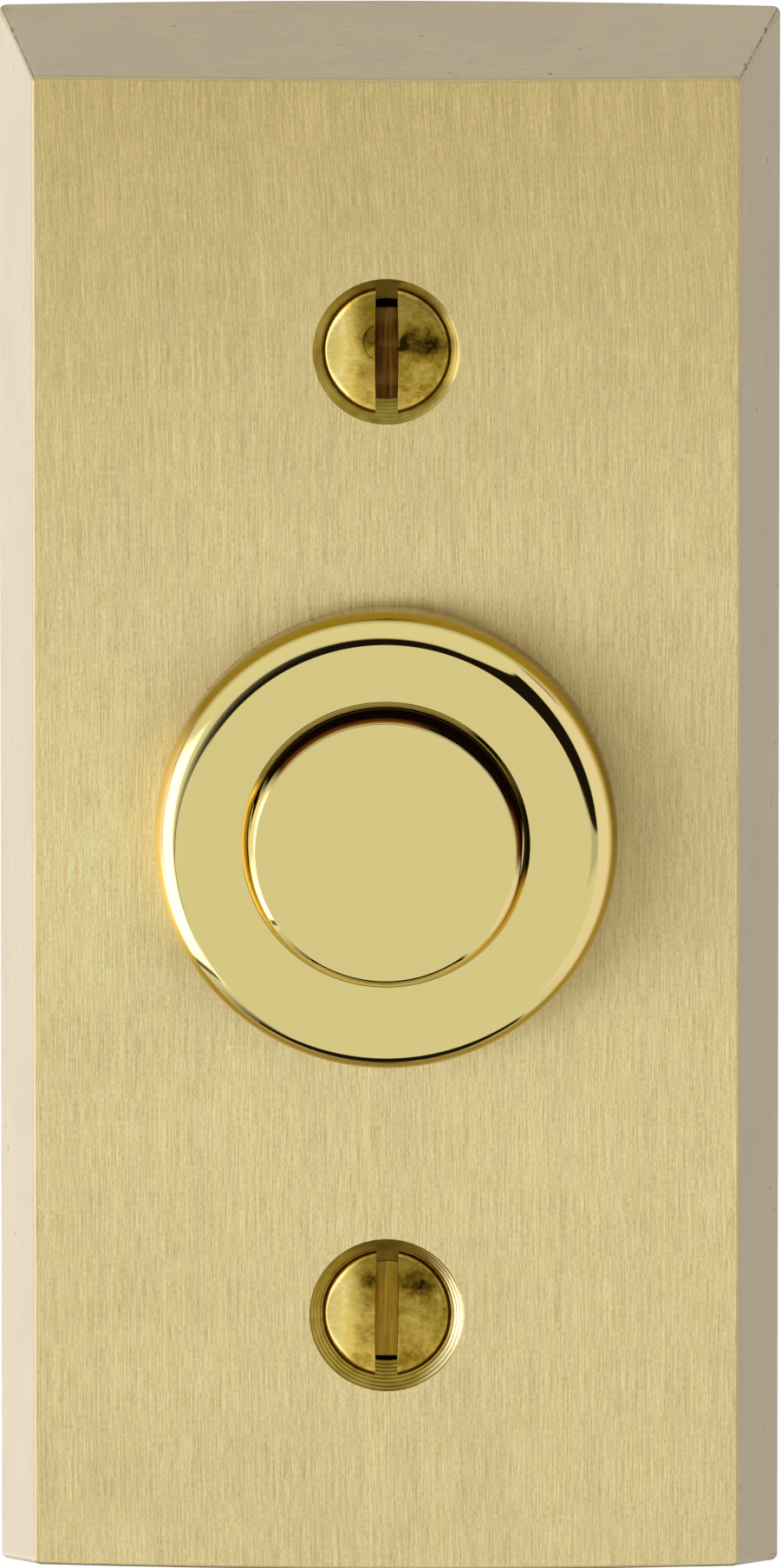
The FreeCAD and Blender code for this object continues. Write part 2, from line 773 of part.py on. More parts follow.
def contact_strip(side, name):
    """A brass strip in its seat, with a raised contact under the disc's rim."""
    body = new_body("contact_strip_" + name)
    strip = outline(body, "strip_outline", strip_corners(side), height=STRIP_BACK)
    raise_from(body, strip, "Dims.strip_thickness", "strip")
    contact_place = "(%d * %s)" % (side, CONTACT_PLACE)
    contact = circles(
        body, "contact_outline", [(contact_place, "0")], "Dims.contact_diameter", STRIP_FRONT
    )
    raise_from(body, contact, "Dims.contact_height", "contact")
    contact_rim = rim("Dims.contact_diameter / 2", CONTACT_FRONT)
    chamfer_edges(body, "contact_edge", "Dims.contact_chamfer", contact_rim)
    offset = "(%d * %s)" % (side, STRIP_PLACE)
    for kind, place, size in (
        ("terminal", TERMINAL_PLACE, MACHINE_TAPPED),
        ("rivet", RIVET_PLACE, RIVET_HOLE),
    ):
        hole = circles(body, kind + "_hole_outline", [(offset, place)], size, STRIP_FRONT)
        cut_from(body, hole, "Dims.strip_thickness", kind + "_hole")
    return body


def contact_rivet(side, name):
    """A rivet with a domed head each side of the base and strip."""
    body = new_body(
        "contact_rivet_" + name,
        up=RIVET_PLACE,
        right="%d * %s" % (side, STRIP_PLACE),
    )
    shank = "Dims.rivet_diameter / 2"
    head = "Dims.rivet_head_diameter / 2"
    turn(
        body,
        "rivet",
        [
            ("0", "(%s - Dims.rivet_head_height)" % BASE_BACK, DOME),
            (head, BASE_BACK),
            (shank, BASE_BACK),
            (shank, STRIP_FRONT),
            (head, STRIP_FRONT, DOME),
            ("0", "(%s + Dims.rivet_head_height)" % STRIP_FRONT),
        ],
    )
    return body


def terminal_screw(side, name):
    seat = "(%s - Dims.terminal_washer_thickness)" % BASE_BACK
    reach = "(%s + Dims.terminal_beyond_strip - %s)" % (STRIP_FRONT, seat)
    return pan_screw(
        "terminal_screw_" + name,
        "Dims.machine_screw_diameter",
        "Dims.machine_head_diameter",
        "Dims.machine_head_height",
        seat,
        reach,
        TERMINAL_PLACE,
        "%d * %s" % (side, STRIP_PLACE),
    )


def terminal_washer(side, name):
    """A square wire clamp plate under the terminal screw's head."""
    body = new_body(
        "terminal_washer_" + name,
        up=TERMINAL_PLACE,
        right="%d * %s" % (side, STRIP_PLACE),
    )
    low = "(%s - Dims.terminal_washer_thickness)" % BASE_BACK
    size = "Dims.terminal_washer_size"
    square = outline(body, "washer_outline", rectangle(size, size), height=low)
    raise_from(body, square, "Dims.terminal_washer_thickness", "washer")
    round_edges(body, "washer_corners", "Dims.terminal_washer_corner", upright)
    hole = circles(body, "washer_hole_outline", [("0", "0")], MACHINE_HOLE, BASE_BACK)
    cut_from(body, hole, "Dims.terminal_washer_thickness", "washer_hole")
    return body


def base_screw(side, name):
    return pan_screw(
        "base_screw_" + name,
        "Dims.machine_screw_diameter",
        "Dims.machine_head_diameter",
        "Dims.machine_head_height",
        BASE_BACK,
        "Dims.base_screw_length",
        "%d * %s" % (side, POST_PLACE),
    )


# Wood screws
def wood_screw(side, name, sink_diameter):
    """A slotted countersunk screw in its hole; the threaded stretch is drawn at the crests."""
    body = new_body("wood_screw_" + name, up="%d * %s" % (side, SCREW_PLACE))
    head = "(Dims.head_diameter / 2)"
    shank = "(Dims.shank_diameter / 2)"
    core = "(Dims.core_diameter / 2)"
    sunk = "((%s - Dims.head_diameter) / 2 - Dims.seat_clearance)" % sink_diameter
    cone_top = "(Dims.plate_depth - %s)" % sunk
    land_top = "(%s + Dims.head_land)" % cone_top
    dome_top = "(%s + Dims.head_dome)" % land_top
    cone_end = "(%s - (%s - %s))" % (cone_top, head, shank)
    runout_top = "(Dims.thread_start + Dims.runout_length)"
    tip = "(%s - Dims.screw_length)" % dome_top
    turn(
        body,
        "screw",
        [
            ("0", tip),
            (shank, "(%s + Dims.point_length)" % tip),
            (shank, "Dims.thread_start"),
            (core, "Dims.thread_start"),
            (core, runout_top),
            (shank, runout_top),
            (shank, cone_end),
            (head, cone_top),
            (head, land_top, DOME),
            ("0", dome_top),
        ],
    )
    slot = outline(
        body,
        "slot_outline",
        rectangle("Dims.slot_width", "(Dims.head_diameter + Dims.slot_width)"),
        height=dome_top,
    )
    cut_from(body, slot, "Dims.slot_depth", "slot")
    return body


pieces = [
    case(),
    bezel_ring(),
    bezel_washer(),
    bezel_nut(),
    button(),
    contact_carrier(),
    carrier_screw(),
    bridge_disc(),
    return_spring(),
    contact_base(),
    wood_screw(1, "upper", "Dims.upper_sink_diameter"),
    wood_screw(-1, "lower", "Dims.lower_sink_diameter"),
    base_screw(1, "upper"),
    base_screw(-1, "lower"),
]
for hand, hand_name in ((-1, "left"), (1, "right")):
    pieces.append(contact_strip(hand, hand_name))
    pieces.append(contact_rivet(hand, hand_name))
    pieces.append(terminal_screw(hand, hand_name))
    pieces.append(terminal_washer(hand, hand_name))

doc.recompute()
for item in doc.Objects:
    if "Invalid" in item.State or "Error" in item.State:
        raise RuntimeError("%s did not recompute: %s" % (item.Label, item.State))
for piece in pieces:
    if piece.Shape.isNull() or not piece.Shape.isValid() or len(piece.Shape.Solids) != 1:
        raise RuntimeError("%s is not one valid solid" % piece.Label)

os.makedirs("parts", exist_ok=True)
for piece in pieces:
    piece.Shape.exportStep("parts/%s.step" % piece.Label)
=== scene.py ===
import math

import bmesh
import bpy
from mathutils import Matrix, Vector


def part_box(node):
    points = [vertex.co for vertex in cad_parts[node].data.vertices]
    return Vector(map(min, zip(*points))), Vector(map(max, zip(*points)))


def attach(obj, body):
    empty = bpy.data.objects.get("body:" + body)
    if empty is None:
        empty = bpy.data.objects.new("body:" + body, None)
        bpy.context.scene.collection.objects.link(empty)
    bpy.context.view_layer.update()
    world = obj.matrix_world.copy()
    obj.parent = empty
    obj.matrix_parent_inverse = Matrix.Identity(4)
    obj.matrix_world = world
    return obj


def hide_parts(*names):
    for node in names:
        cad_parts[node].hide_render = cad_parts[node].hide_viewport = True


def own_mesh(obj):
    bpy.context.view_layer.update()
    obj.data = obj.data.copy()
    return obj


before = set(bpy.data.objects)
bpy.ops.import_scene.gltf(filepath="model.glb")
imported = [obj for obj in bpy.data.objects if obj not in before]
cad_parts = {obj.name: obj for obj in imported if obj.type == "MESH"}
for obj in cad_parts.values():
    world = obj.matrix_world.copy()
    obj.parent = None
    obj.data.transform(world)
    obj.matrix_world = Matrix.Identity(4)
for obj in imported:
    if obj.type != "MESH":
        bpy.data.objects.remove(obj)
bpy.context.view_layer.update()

# Doorbell push button on its wall screws. +Z is up, the plate's back lies at y = 0, its face looks along -Y.
# Lengths are metres, and MM turns millimetres into metres. A depth or height is one over the wall: minus y.

MM = 0.001

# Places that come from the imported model
CASE_LOW, CASE_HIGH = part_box("case")
RING_LOW, RING_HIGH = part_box("bezel_ring")
BUTTON_LOW, BUTTON_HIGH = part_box("button")
SPRING_LOW, SPRING_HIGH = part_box("return_spring")
FACE_HEIGHT = 12.0 * MM
SIDE_SLOPE = 2.0 / 12.0
TOP_BOW = 0.25 * MM
PLATE_MIDDLE = (CASE_LOW.z + CASE_HIGH.z) / 2
WALL_INSIDE = 9.0 * MM
SIDE_WALL = 2.2 * MM

# Ring and button, matching the solids that they stand for
RING_RADIUS = 12.175 * MM
RING_FRONT = -RING_LOW.y
RING_ROUND = 1.55 * MM
MOUTH_CHAMFER = 0.3 * MM
BORE_RADIUS = 7.25 * MM
SHOULDER = 10.4 * MM
CHAMBER_RADIUS = 8.35 * MM
BARREL_RADIUS = 9.4 * MM
BARREL_END = -RING_HIGH.y
BUTTON_RADIUS = 7.175 * MM
BUTTON_FRONT = -BUTTON_LOW.y
BUTTON_BACK = -BUTTON_HIGH.y
BUTTON_CHAMFER = 0.33 * MM
FLANGE_RADIUS = 8.2 * MM
FLANGE_FRONT = 10.38 * MM
TAPPED_RADIUS = 1.3 * MM
TAPPED_END = 13.78 * MM
EDGE_BREAK = 0.06 * MM
EASE = 0.19 * MM
CRISP_EASE = 0.05 * MM

# Wood screws
SCREW_PLACE = 25.7 * MM
SCREWS = [("upper", 1, 0.0), ("lower", -1, 0.7)]
HEAD_RADIUS = 3.265 * MM
HEAD_LAND = 0.12 * MM
HEAD_DOME = 0.22 * MM
SHANK_RADIUS = 1.75 * MM
CORE_RADIUS = 1.25 * MM
SLOT_WIDTH = 1.17 * MM
SLOT_DEPTH = 0.95 * MM
SLOT_BREAK = 0.05 * MM
SINK_RIMS = (3.875 * MM, 4.085 * MM)
SINK_REACH = 4.2 * MM
TURNING_PITCH = 0.17 * MM
THREAD_START = 0.05 * MM
RUNOUT = 0.5 * MM
THREAD_PITCH = 1.5 * MM
SCREW_LENGTH = 32.0 * MM
POINT_LENGTH = 5.0 * MM

# Dark spots of the screw heads, partly tarnish and partly painted shade: place across and up, half width,
# half height in millimetres, strength
BLOTCHES = {
    "upper": [
        (1.80, 0.40, 1.5, 1.05, 0.48),
        (-0.75, 0.50, 0.75, 0.95, 0.32),
        (0.86, 0.42, 0.18, 0.40, 0.36),
        (2.4, -2.2, 1.0, 0.6, 0.15),
    ],
    "lower": [
        (1.45, 1.75, 1.15, 0.75, 0.48),
        (2.05, 1.15, 0.75, 0.65, 0.30),
        (-0.80, 1.75, 0.75, 0.50, 0.26),
        (1.6, -2.5, 1.5, 0.5, 0.22),
        (-1.8, -2.5, 1.2, 0.45, 0.22),
    ],
}
SCRATCH_DEPTHS = {"upper": 0.30, "lower": 0.0}

# Slot floors: where they end and their black painted shade begins, their colour, and how strong their streaks
# and light bands are
FLOOR_ENDS = {"upper": (2.22 * MM, -2.72 * MM), "lower": (2.72 * MM, -2.42 * MM)}
FLOOR_TONES = {"upper": (0.17, 0.072, 0.012), "lower": (0.52, 0.33, 0.035)}
FLOOR_CONTRASTS = {"upper": (0.65, 0.25), "lower": (0.30, 0.12)}

# The photograph's view, in its own pixels
PHOTO_HEIGHT = 1808
PHOTO_MIDDLE = (450.5, 904.0)
AXIS_PIXEL = (446.0, 962.5)
PIXEL = 0.0456 * MM
CAMERA_DISTANCE = 1.8
CAMERA_AZIMUTH = math.radians(0.75)
CAMERA_ELEVATION = math.radians(9.7)
SENSOR = 36.0


# Shader graphs
class Graph:
    """Adds nodes to a material's or the world's tree. Each method gives back an output socket."""

    def __init__(self, tree):
        self.tree = tree
        tree.nodes.clear()

    def node(self, kind, **settings):
        made = self.tree.nodes.new(kind)
        for key, setting in settings.items():
            setattr(made, key, setting)
        return made

    def feed(self, socket, source):
        """Link a socket to a source, or set it where the source is a number or a tuple."""
        if isinstance(source, bpy.types.NodeSocket):
            self.tree.links.new(source, socket)
        else:
            socket.default_value = source

    def math(self, operation, *sources, clamp=False):
        made = self.node("ShaderNodeMath", operation=operation, use_clamp=clamp)
        for socket, source in zip(made.inputs, sources):
            self.feed(socket, source)
        return made.outputs[0]

    def vector(self, operation, *sources):
        made = self.node("ShaderNodeVectorMath", operation=operation)
        for socket, source in zip(made.inputs, sources):
            self.feed(socket, source)
        return made.outputs["Value" if operation in ("LENGTH", "DOT_PRODUCT") else "Vector"]

    def join(self, x=0.0, y=0.0, z=0.0):
        made = self.node("ShaderNodeCombineXYZ")
        for socket, source in zip(made.inputs, (x, y, z)):
            self.feed(socket, source)
        return made.outputs[0]

    def split(self, source):
        made = self.node("ShaderNodeSeparateXYZ")
        self.feed(made.inputs[0], source)
        return tuple(made.outputs)

    def step(self, source, low, high, start=0.0, end=1.0):
        """Rises smoothly from start to end as the source goes from low to high."""
        made = self.node("ShaderNodeMapRange", interpolation_type="SMOOTHSTEP")
        for socket, item in zip(made.inputs, (source, low, high, start, end)):
            self.feed(socket, item)
        return made.outputs[0]

    def within(self, source, low, high, soft):
        """1 between low and high, with soft edges."""
        rise = self.step(self.math("SUBTRACT", source, low), -soft, soft)
        fall = self.step(self.math("SUBTRACT", high, source), -soft, soft)
        return self.math("MULTIPLY", rise, fall)

    def curve(self, source, points):
        """A value that runs smoothly through points, each a pair of source and value."""
        lows = [min(point[k] for point in points) for k in (0, 1)]
        highs = [max(point[k] for point in points) for k in (0, 1)]
        made = self.node("ShaderNodeFloatCurve")
        line = made.mapping.curves[0]
        for index, (place, height) in enumerate(points):
            across = (place - lows[0]) / (highs[0] - lows[0])
            along = (height - lows[1]) / (highs[1] - lows[1])
            if index < 2:
                line.points[index].location = (across, along)
            else:
                line.points.new(across, along)
        made.mapping.update()
        self.feed(made.inputs["Value"], self.level(source, lows[0], highs[0]))
        return self.math("ADD", self.math("MULTIPLY", made.outputs[0], highs[1] - lows[1]), lows[1])

    def level(self, source, low, high, start=0.0, end=1.0):
        """Rises evenly from start to end as the source goes from low to high."""
        made = self.node("ShaderNodeMapRange", interpolation_type="LINEAR")
        for socket, item in zip(made.inputs, (source, low, high, start, end)):
            self.feed(socket, item)
        return made.outputs[0]

    def mix(self, share, first, second):
        made = self.node("ShaderNodeMix", data_type="RGBA")
        self.feed(made.inputs["Factor"], share)
        self.feed(made.inputs[6], colour(first))
        self.feed(made.inputs[7], colour(second))
        return made.outputs[2]

    def blend(self, share, first, second):
        """A number between first and second."""
        made = self.node("ShaderNodeMix", data_type="FLOAT")
        for socket, source in zip(made.inputs[:1] + made.inputs[2:4], (share, first, second)):
            self.feed(socket, source)
        return made.outputs[0]

    def scaled(self, shade, amount):
        """A colour times a number."""
        made = self.node("ShaderNodeVectorMath", operation="SCALE")
        self.feed(made.inputs[0], shade)
        self.feed(made.inputs["Scale"], amount)
        return made.outputs[0]

    def noise(self, place, scale, detail=2.0, roughness=0.5):
        made = self.node("ShaderNodeTexNoise")
        self.feed(made.inputs["Vector"], place)
        self.feed(made.inputs["Scale"], scale)
        self.feed(made.inputs["Detail"], detail)
        self.feed(made.inputs["Roughness"], roughness)
        return made.outputs[0]

    def spots(self, place, scale, size, soft):
        """1 on scattered round spots, as large as size times a cell."""
        made = self.node("ShaderNodeTexVoronoi")
        self.feed(made.inputs["Vector"], place)
        self.feed(made.inputs["Scale"], scale)
        return self.step(made.outputs["Distance"], size + soft, size)

    def bump(self, height, distance, strength=1.0, under=None):
        made = self.node("ShaderNodeBump")
        self.feed(made.inputs["Strength"], strength)
        self.feed(made.inputs["Distance"], distance)
        self.feed(made.inputs["Height"], height)
        if under is not None:
            self.feed(made.inputs["Normal"], under)
        return made.outputs[0]


def colour(source):
    """A colour as a node socket takes it."""
    return (*source, 1.0) if isinstance(source, tuple) and len(source) == 3 else source


def new_material(name):
    """A material with its graph, its shader and the piece's own coordinates and normal."""
    material = bpy.data.materials.new(name)
    material.use_nodes = True
    graph = Graph(material.node_tree)
    shader = graph.node("ShaderNodeBsdfPrincipled")
    output = graph.node("ShaderNodeOutputMaterial")
    graph.feed(output.inputs["Surface"], shader.outputs[0])
    coordinates = graph.node("ShaderNodeTexCoord")
    return material, graph, shader, coordinates.outputs["Object"], coordinates.outputs["Normal"]


def metal(graph, shader, base, roughness, normal=None, tangent=None, anisotropic=0.0):
    shader.inputs["Metallic"].default_value = 1.0
    shader.inputs["Anisotropic"].default_value = anisotropic
    graph.feed(shader.inputs["Base Color"], colour(base))
    graph.feed(shader.inputs["Roughness"], roughness)
    if normal is not None:
        graph.feed(shader.inputs["Normal"], normal)
    if tangent is not None:
        graph.feed(shader.inputs["Tangent"], tangent)


# Colours, linear
MIRROR_BRASS = (0.82, 0.695, 0.284)
FACE_BRASS = (0.76, 0.610, 0.244)
FACE_BRASS_LOW = (0.920, 0.775, 0.358)
STREAK_DARK = (0.70, 0.67, 0.52)
STREAK_LIGHT = (1.30, 1.33, 1.48)
SIDE_BRASS = (0.735, 0.64, 0.43)
EDGE_PAINTED_SHADE = (0.52, 0.41, 0.17)
MITRE_GRIME = (0.26, 0.19, 0.09)
SINK_BRASS = (0.29, 0.21, 0.022)
SINK_LIGHT = (0.47, 0.37, 0.07)
SINK_LIT_SIDE = (0.95, 0.86, 0.50)
SINK_CREVICE_SHADE = (0.42, 0.20, 0.035)
CAST_BRASS = (0.50, 0.37, 0.16)
HEM_SHADE_AND_GRIME = (0.42, 0.29, 0.030)
HEM_PAINTED_LIGHT = (1.0, 0.75, 0.32)
MOUTH_PAINTED_REFLECTION = (0.86, 0.62, 0.13)
MOUTH_TOP_PAINTED_REFLECTION = (1.0, 0.68, 0.11)
MOUTH_PAINTED_DARK_REFLECTION = (0.02, 0.01, 0.002)
TARNISH = (0.10, 0.065, 0.012)
TARNISH_LIGHT = (0.56, 0.38, 0.08)
TARNISH_RED = (0.12, 0.03, 0.003)
BLACK_TARNISH_AND_REFLECTION = (0.008, 0.003, 0.001)
DEEP_TARNISH_AND_REFLECTION = (0.006, 0.003, 0.001)
WALL_PAINTED_SHADE = (0.006, 0.002, 0.001)
SCREW_BLACK = (0.030, 0.019, 0.002)
SCREW_BROWN = (0.45, 0.285, 0.026)
SCREW_GOLD = (0.84, 0.615, 0.13)
SCREW_WORN_HIGHLIGHT = (0.96, 0.77, 0.27)
HEAD_RIM_SHADE = (0.42, 0.20, 0.03)
SLOT_LIGHT = (0.42, 0.26, 0.06)
SLOT_END_PAINTED_SHADE = (0.003, 0.002, 0.001)

# Fineness of the marks, in waves per metre
HAIRS = 21000.0
GRIT = 19000.0
STRANDS = 11000.0
POLISH_MARKS = 7000.0
GRAIN = 5200.0
SCORES = 4200.0
FLECKS = 2600.0
BROAD_BANDS = 900.0
HEAD_CLOUDS = 500.0
MIRROR_CLOUDS = 220.0
CASE_CLOUDS = 160.0


def placed(graph, x, z, across, up, wide, tall):
    """The distance from a spot on the face, its half width and half height counted as 1."""
    dx = graph.math("DIVIDE", graph.math("SUBTRACT", x, across * MM), wide * MM)
    dz = graph.math("DIVIDE", graph.math("SUBTRACT", z, up * MM), tall * MM)
    return graph.vector("LENGTH", graph.join(dx, 0.0, dz))


def times(graph, *sources):
    """The product of numbers."""
    product = sources[0]
    for source in sources[1:]:
        product = graph.math("MULTIPLY", product, source)
    return product


def towards(graph, x, z, radius, across, up):
    """1 on the side of a direction across the face, 0 at right angles to it, -1 on the far side."""
    along = graph.math("ADD", graph.math("MULTIPLY", x, across), graph.math("MULTIPLY", z, up))
    return graph.math("DIVIDE", along, radius)


def brushing(graph, x, z):
    """Streaks one or two hairs wide that run up the face and lean a little near its top, and scored lines."""
    lean_top = graph.math("MULTIPLY", graph.step(z, 24 * MM, 42 * MM), graph.math("MULTIPLY", z, 0.016))
    drift = graph.math("MULTIPLY", graph.noise(graph.join(x, 0.0, z), 60.0, 1.0), 0.6 * MM)
    across = graph.math("ADD", graph.math("ADD", x, lean_top), drift)
    hairs = graph.noise(graph.join(across, 0.0, graph.math("MULTIPLY", z, 0.04)), HAIRS, 1.0, 0.6)
    strands = graph.noise(graph.join(across, 3.0, graph.math("MULTIPLY", z, 0.02)), STRANDS, 1.0, 0.5)
    grit = graph.noise(graph.join(across, 6.0, graph.math("MULTIPLY", z, 0.22)), GRIT, 1.0, 0.6)
    broad = graph.noise(graph.join(across, 9.0, graph.math("MULTIPLY", z, 0.05)), BROAD_BANDS, 2.0)
    streaks = graph.blend(0.30, graph.blend(0.45, hairs, grit), strands)
    scored = graph.noise(graph.join(across, 12.0, graph.math("MULTIPLY", z, 0.006)), SCORES, 0.0)
    scored = times(graph, graph.step(scored, 0.68, 0.80), graph.step(broad, 0.42, 0.60))
    return streaks, broad, scored


def face_tone(graph, x, z, cloud, marks):
    """Brushed face: painted shade darker towards its top and a little at its bottom, soft clouds, a painted
    light patch left of the ring, a painted shadow right of it, and streaks.
    """
    streaks, broad, scored = marks
    # Painted shade: the face is darker towards its top, and a little darker again near its bottom
    tone = graph.mix(graph.level(z, 41 * MM, 12 * MM), FACE_BRASS, FACE_BRASS_LOW)
    tone = graph.scaled(tone, graph.level(z, -16 * MM, -36 * MM, 1.0, 0.95))
    # Painted light left of the ring, and painted shadow right of it where the ring blocks the light from the
    # left
    painted_light_left_of_ring = graph.step(placed(graph, x, z, -15.5, 0.0, 5.5, 11.0), 1.15, 0.2, 1.0, 1.09)
    painted_shadow_right_of_ring = graph.step(placed(graph, x, z, 15.0, -1.0, 4.5, 9.0), 1.1, 0.3, 1.0, 0.95)
    tone = graph.scaled(tone, graph.math("MULTIPLY", painted_light_left_of_ring, painted_shadow_right_of_ring))
    tone = graph.scaled(tone, graph.level(cloud, 0.3, 0.7, 0.98, 1.02))
    streak_tone = graph.mix(graph.level(streaks, 0.32, 0.68), STREAK_DARK, STREAK_LIGHT)
    tone = graph.vector("MULTIPLY", tone, streak_tone)
    tone = graph.scaled(tone, graph.level(broad, 0.3, 0.7, 0.97, 1.03))
    return graph.scaled(tone, graph.blend(scored, 1.0, 1.10))


def side_tone(graph, place, x, z, cloud, grain):
    """Satin sides: faint grain, a few small pits, and grime and holes along the upper mitres."""
    pits = graph.spots(place, 900.0, 0.10, 0.05)
    pits = graph.math("MULTIPLY", pits, graph.step(cloud, 0.58, 0.66))
    mitre_line = CASE_HIGH.x - (CASE_HIGH.z - TOP_BOW)
    from_mitre = graph.math("SUBTRACT", graph.math("SUBTRACT", graph.math("ABSOLUTE", x), z), mitre_line)
    corner = graph.step(z, 39.5 * MM, 40.0 * MM)
    patchy = graph.noise(place, 1100.0, 3.0, 0.6)
    grime = times(graph, graph.within(from_mitre, -0.08 * MM, 0.06 * MM, 0.05 * MM), corner)
    grime = graph.math("MULTIPLY", grime, graph.level(patchy, 0.3, 0.6))
    holes = graph.spots(place, 1900.0, 0.26, 0.10)
    holes = times(graph, holes, graph.within(from_mitre, -0.30 * MM, 0.14 * MM, 0.08 * MM), corner)
    holes = times(graph, holes, graph.step(x, 15 * MM, 16 * MM), graph.step(patchy, 0.50, 0.56))
    tone = graph.scaled(SIDE_BRASS, graph.level(grain, 0.3, 0.7, 0.94, 1.06))
    tone = graph.scaled(tone, graph.level(cloud, 0.3, 0.7, 0.975, 1.025))
    for marks, strength, shade in ((pits, 0.6, TARNISH), (grime, 0.75, MITRE_GRIME), (holes, 0.75, TARNISH)):
        tone = graph.mix(graph.math("MULTIPLY", marks, strength), tone, shade)
    return tone


def sink_tone(graph, x, nearest, low, wander, marks):
    """Countersinks: turning marks, a lit rim, a lit right side on the lower one, painted shade in the crevice
    by the head.
    """
    tone = graph.mix(graph.level(wander, 0.3, 0.7), SINK_BRASS, SINK_LIGHT)
    tone = graph.scaled(tone, graph.math("ADD", graph.math("MULTIPLY", marks, 0.7), 1.0))
    from_rim = graph.math("SUBTRACT", nearest, graph.blend(low, SINK_RIMS[0], SINK_RIMS[1]))
    lit_rim = graph.step(from_rim, -0.35 * MM, -0.05 * MM)
    tone = graph.mix(times(graph, lit_rim, graph.step(x, 0.5 * MM, 3.0 * MM), 0.6), tone, FACE_BRASS)
    lit_side = times(
        graph, low, graph.step(x, 1.6 * MM, 3.2 * MM), graph.step(nearest, 3.4 * MM, 3.7 * MM), 0.9
    )
    tone = graph.mix(lit_side, tone, SINK_LIT_SIDE)
    beside_slot = graph.step(graph.math("ABSOLUTE", x), 0.5 * MM, 0.7 * MM)
    # Painted shade in the crevice between the head and the countersink
    by_head = times(graph, graph.step(nearest, 3.36 * MM, 3.28 * MM, 0.0, 0.8), beside_slot)
    return graph.mix(by_head, tone, SINK_CREVICE_SHADE)


def brushed_case():
    """Cast brass plate: face brushed up and down, satin sides, turned countersinks and a rough cast back."""
    material, graph, shader, place, normal = new_material("brushed_cast_brass")
    x, y, z = graph.split(place)
    depth = graph.math("MULTIPLY", y, -1.0)
    facing = graph.math("MULTIPLY", graph.split(normal)[1], -1.0)

    # Where each finish lies
    face = graph.step(facing, 0.90, 0.97)
    edge = graph.within(facing, 0.25, 0.985, 0.015)
    lean = graph.math("MULTIPLY", depth, SIDE_SLOPE)
    half_width = CASE_HIGH.x - SIDE_WALL / 2
    half_height = (CASE_HIGH.z - CASE_LOW.z - SIDE_WALL) / 2
    inside_x = graph.math("LESS_THAN", graph.math("ADD", graph.math("ABSOLUTE", x), lean), half_width)
    from_middle = graph.math("ABSOLUTE", graph.math("SUBTRACT", z, PLATE_MIDDLE))
    inside_z = graph.math("LESS_THAN", graph.math("ADD", from_middle, lean), half_height)
    cavity = times(graph, inside_x, inside_z, graph.math("LESS_THAN", depth, WALL_INSIDE + 0.2 * MM))
    reach = []
    for _, side, _ in SCREWS:
        along = graph.math("SUBTRACT", z, side * SCREW_PLACE)
        reach.append(graph.vector("LENGTH", graph.join(x, 0.0, along)))
    nearest = graph.math("MINIMUM", *reach)
    sink = times(
        graph,
        graph.math("LESS_THAN", nearest, SINK_REACH),
        graph.math("SUBTRACT", 1.0, face),
        graph.math("SUBTRACT", 1.0, cavity),
    )
    low = graph.math("LESS_THAN", z, 0.0)

    # Marks that tones and relief share; the turning marks are stronger on the lower countersink
    streaks, broad, scored = brushing(graph, x, z)
    grain = graph.noise(graph.vector("MULTIPLY", place, (0.12, 1.0, 0.12)), GRAIN, 3.0, 0.6)
    cloud = graph.noise(place, CASE_CLOUDS, 3.0)
    wander = graph.noise(place, BROAD_BANDS, 2.0)
    spread = graph.math("ADD", nearest, graph.math("MULTIPLY", wander, 0.08 * MM))
    rings = graph.math("SINE", graph.math("MULTIPLY", spread, 2 * math.pi / TURNING_PITCH))
    marks = graph.math("MULTIPLY", graph.level(rings, -1, 1, -0.5, 0.5), graph.blend(low, 0.10, 0.30))

    # Tone
    cast_tone = graph.scaled(graph.mix(cloud, CAST_BRASS, SIDE_BRASS), 0.8)
    on_face = face_tone(graph, x, z, cloud, (streaks, broad, scored))
    base = graph.mix(face, side_tone(graph, place, x, z, cloud, grain), on_face)
    # Painted shade on the face's rounded edges dims their highlight
    base = graph.mix(graph.math("MULTIPLY", edge, 0.55), base, EDGE_PAINTED_SHADE)
    base = graph.mix(sink, base, sink_tone(graph, x, nearest, low, wander, marks))
    base = graph.mix(cavity, base, cast_tone)

    rough = graph.blend(face, 0.36, graph.level(streaks, 0.3, 0.7, 0.46, 0.54))
    rough = graph.blend(sink, rough, 0.27)
    rough = graph.blend(cavity, rough, 0.6)

    # Relief: grooves of the brushing, turning marks and the cast skin
    relief = graph.blend(face, graph.math("MULTIPLY", grain, 0.35), streaks)
    turned_marks = graph.math("ADD", graph.math("MULTIPLY", marks, 3.0), graph.math("MULTIPLY", wander, 0.8))
    relief = graph.blend(sink, relief, turned_marks)
    cast_skin = graph.math("MULTIPLY", graph.noise(place, 1400.0, 4.0, 0.6), 5.0)
    relief = graph.blend(cavity, relief, cast_skin)
    surface = graph.bump(relief, 0.012 * MM)

    # Brushing spreads the light across the streaks, turning marks spread it along the cone
    ring_way = graph.join(x, 0.0, graph.math("SUBTRACT", graph.math("ABSOLUTE", z), SCREW_PLACE))
    tangent = graph.mix(face, (0.0, 1.0, 0.0), (1.0, 0.0, 0.0))
    tangent = graph.mix(sink, tangent, graph.vector("NORMALIZE", ring_way))
    metal(graph, shader, base, rough, surface, tangent, 0.85)
    return material


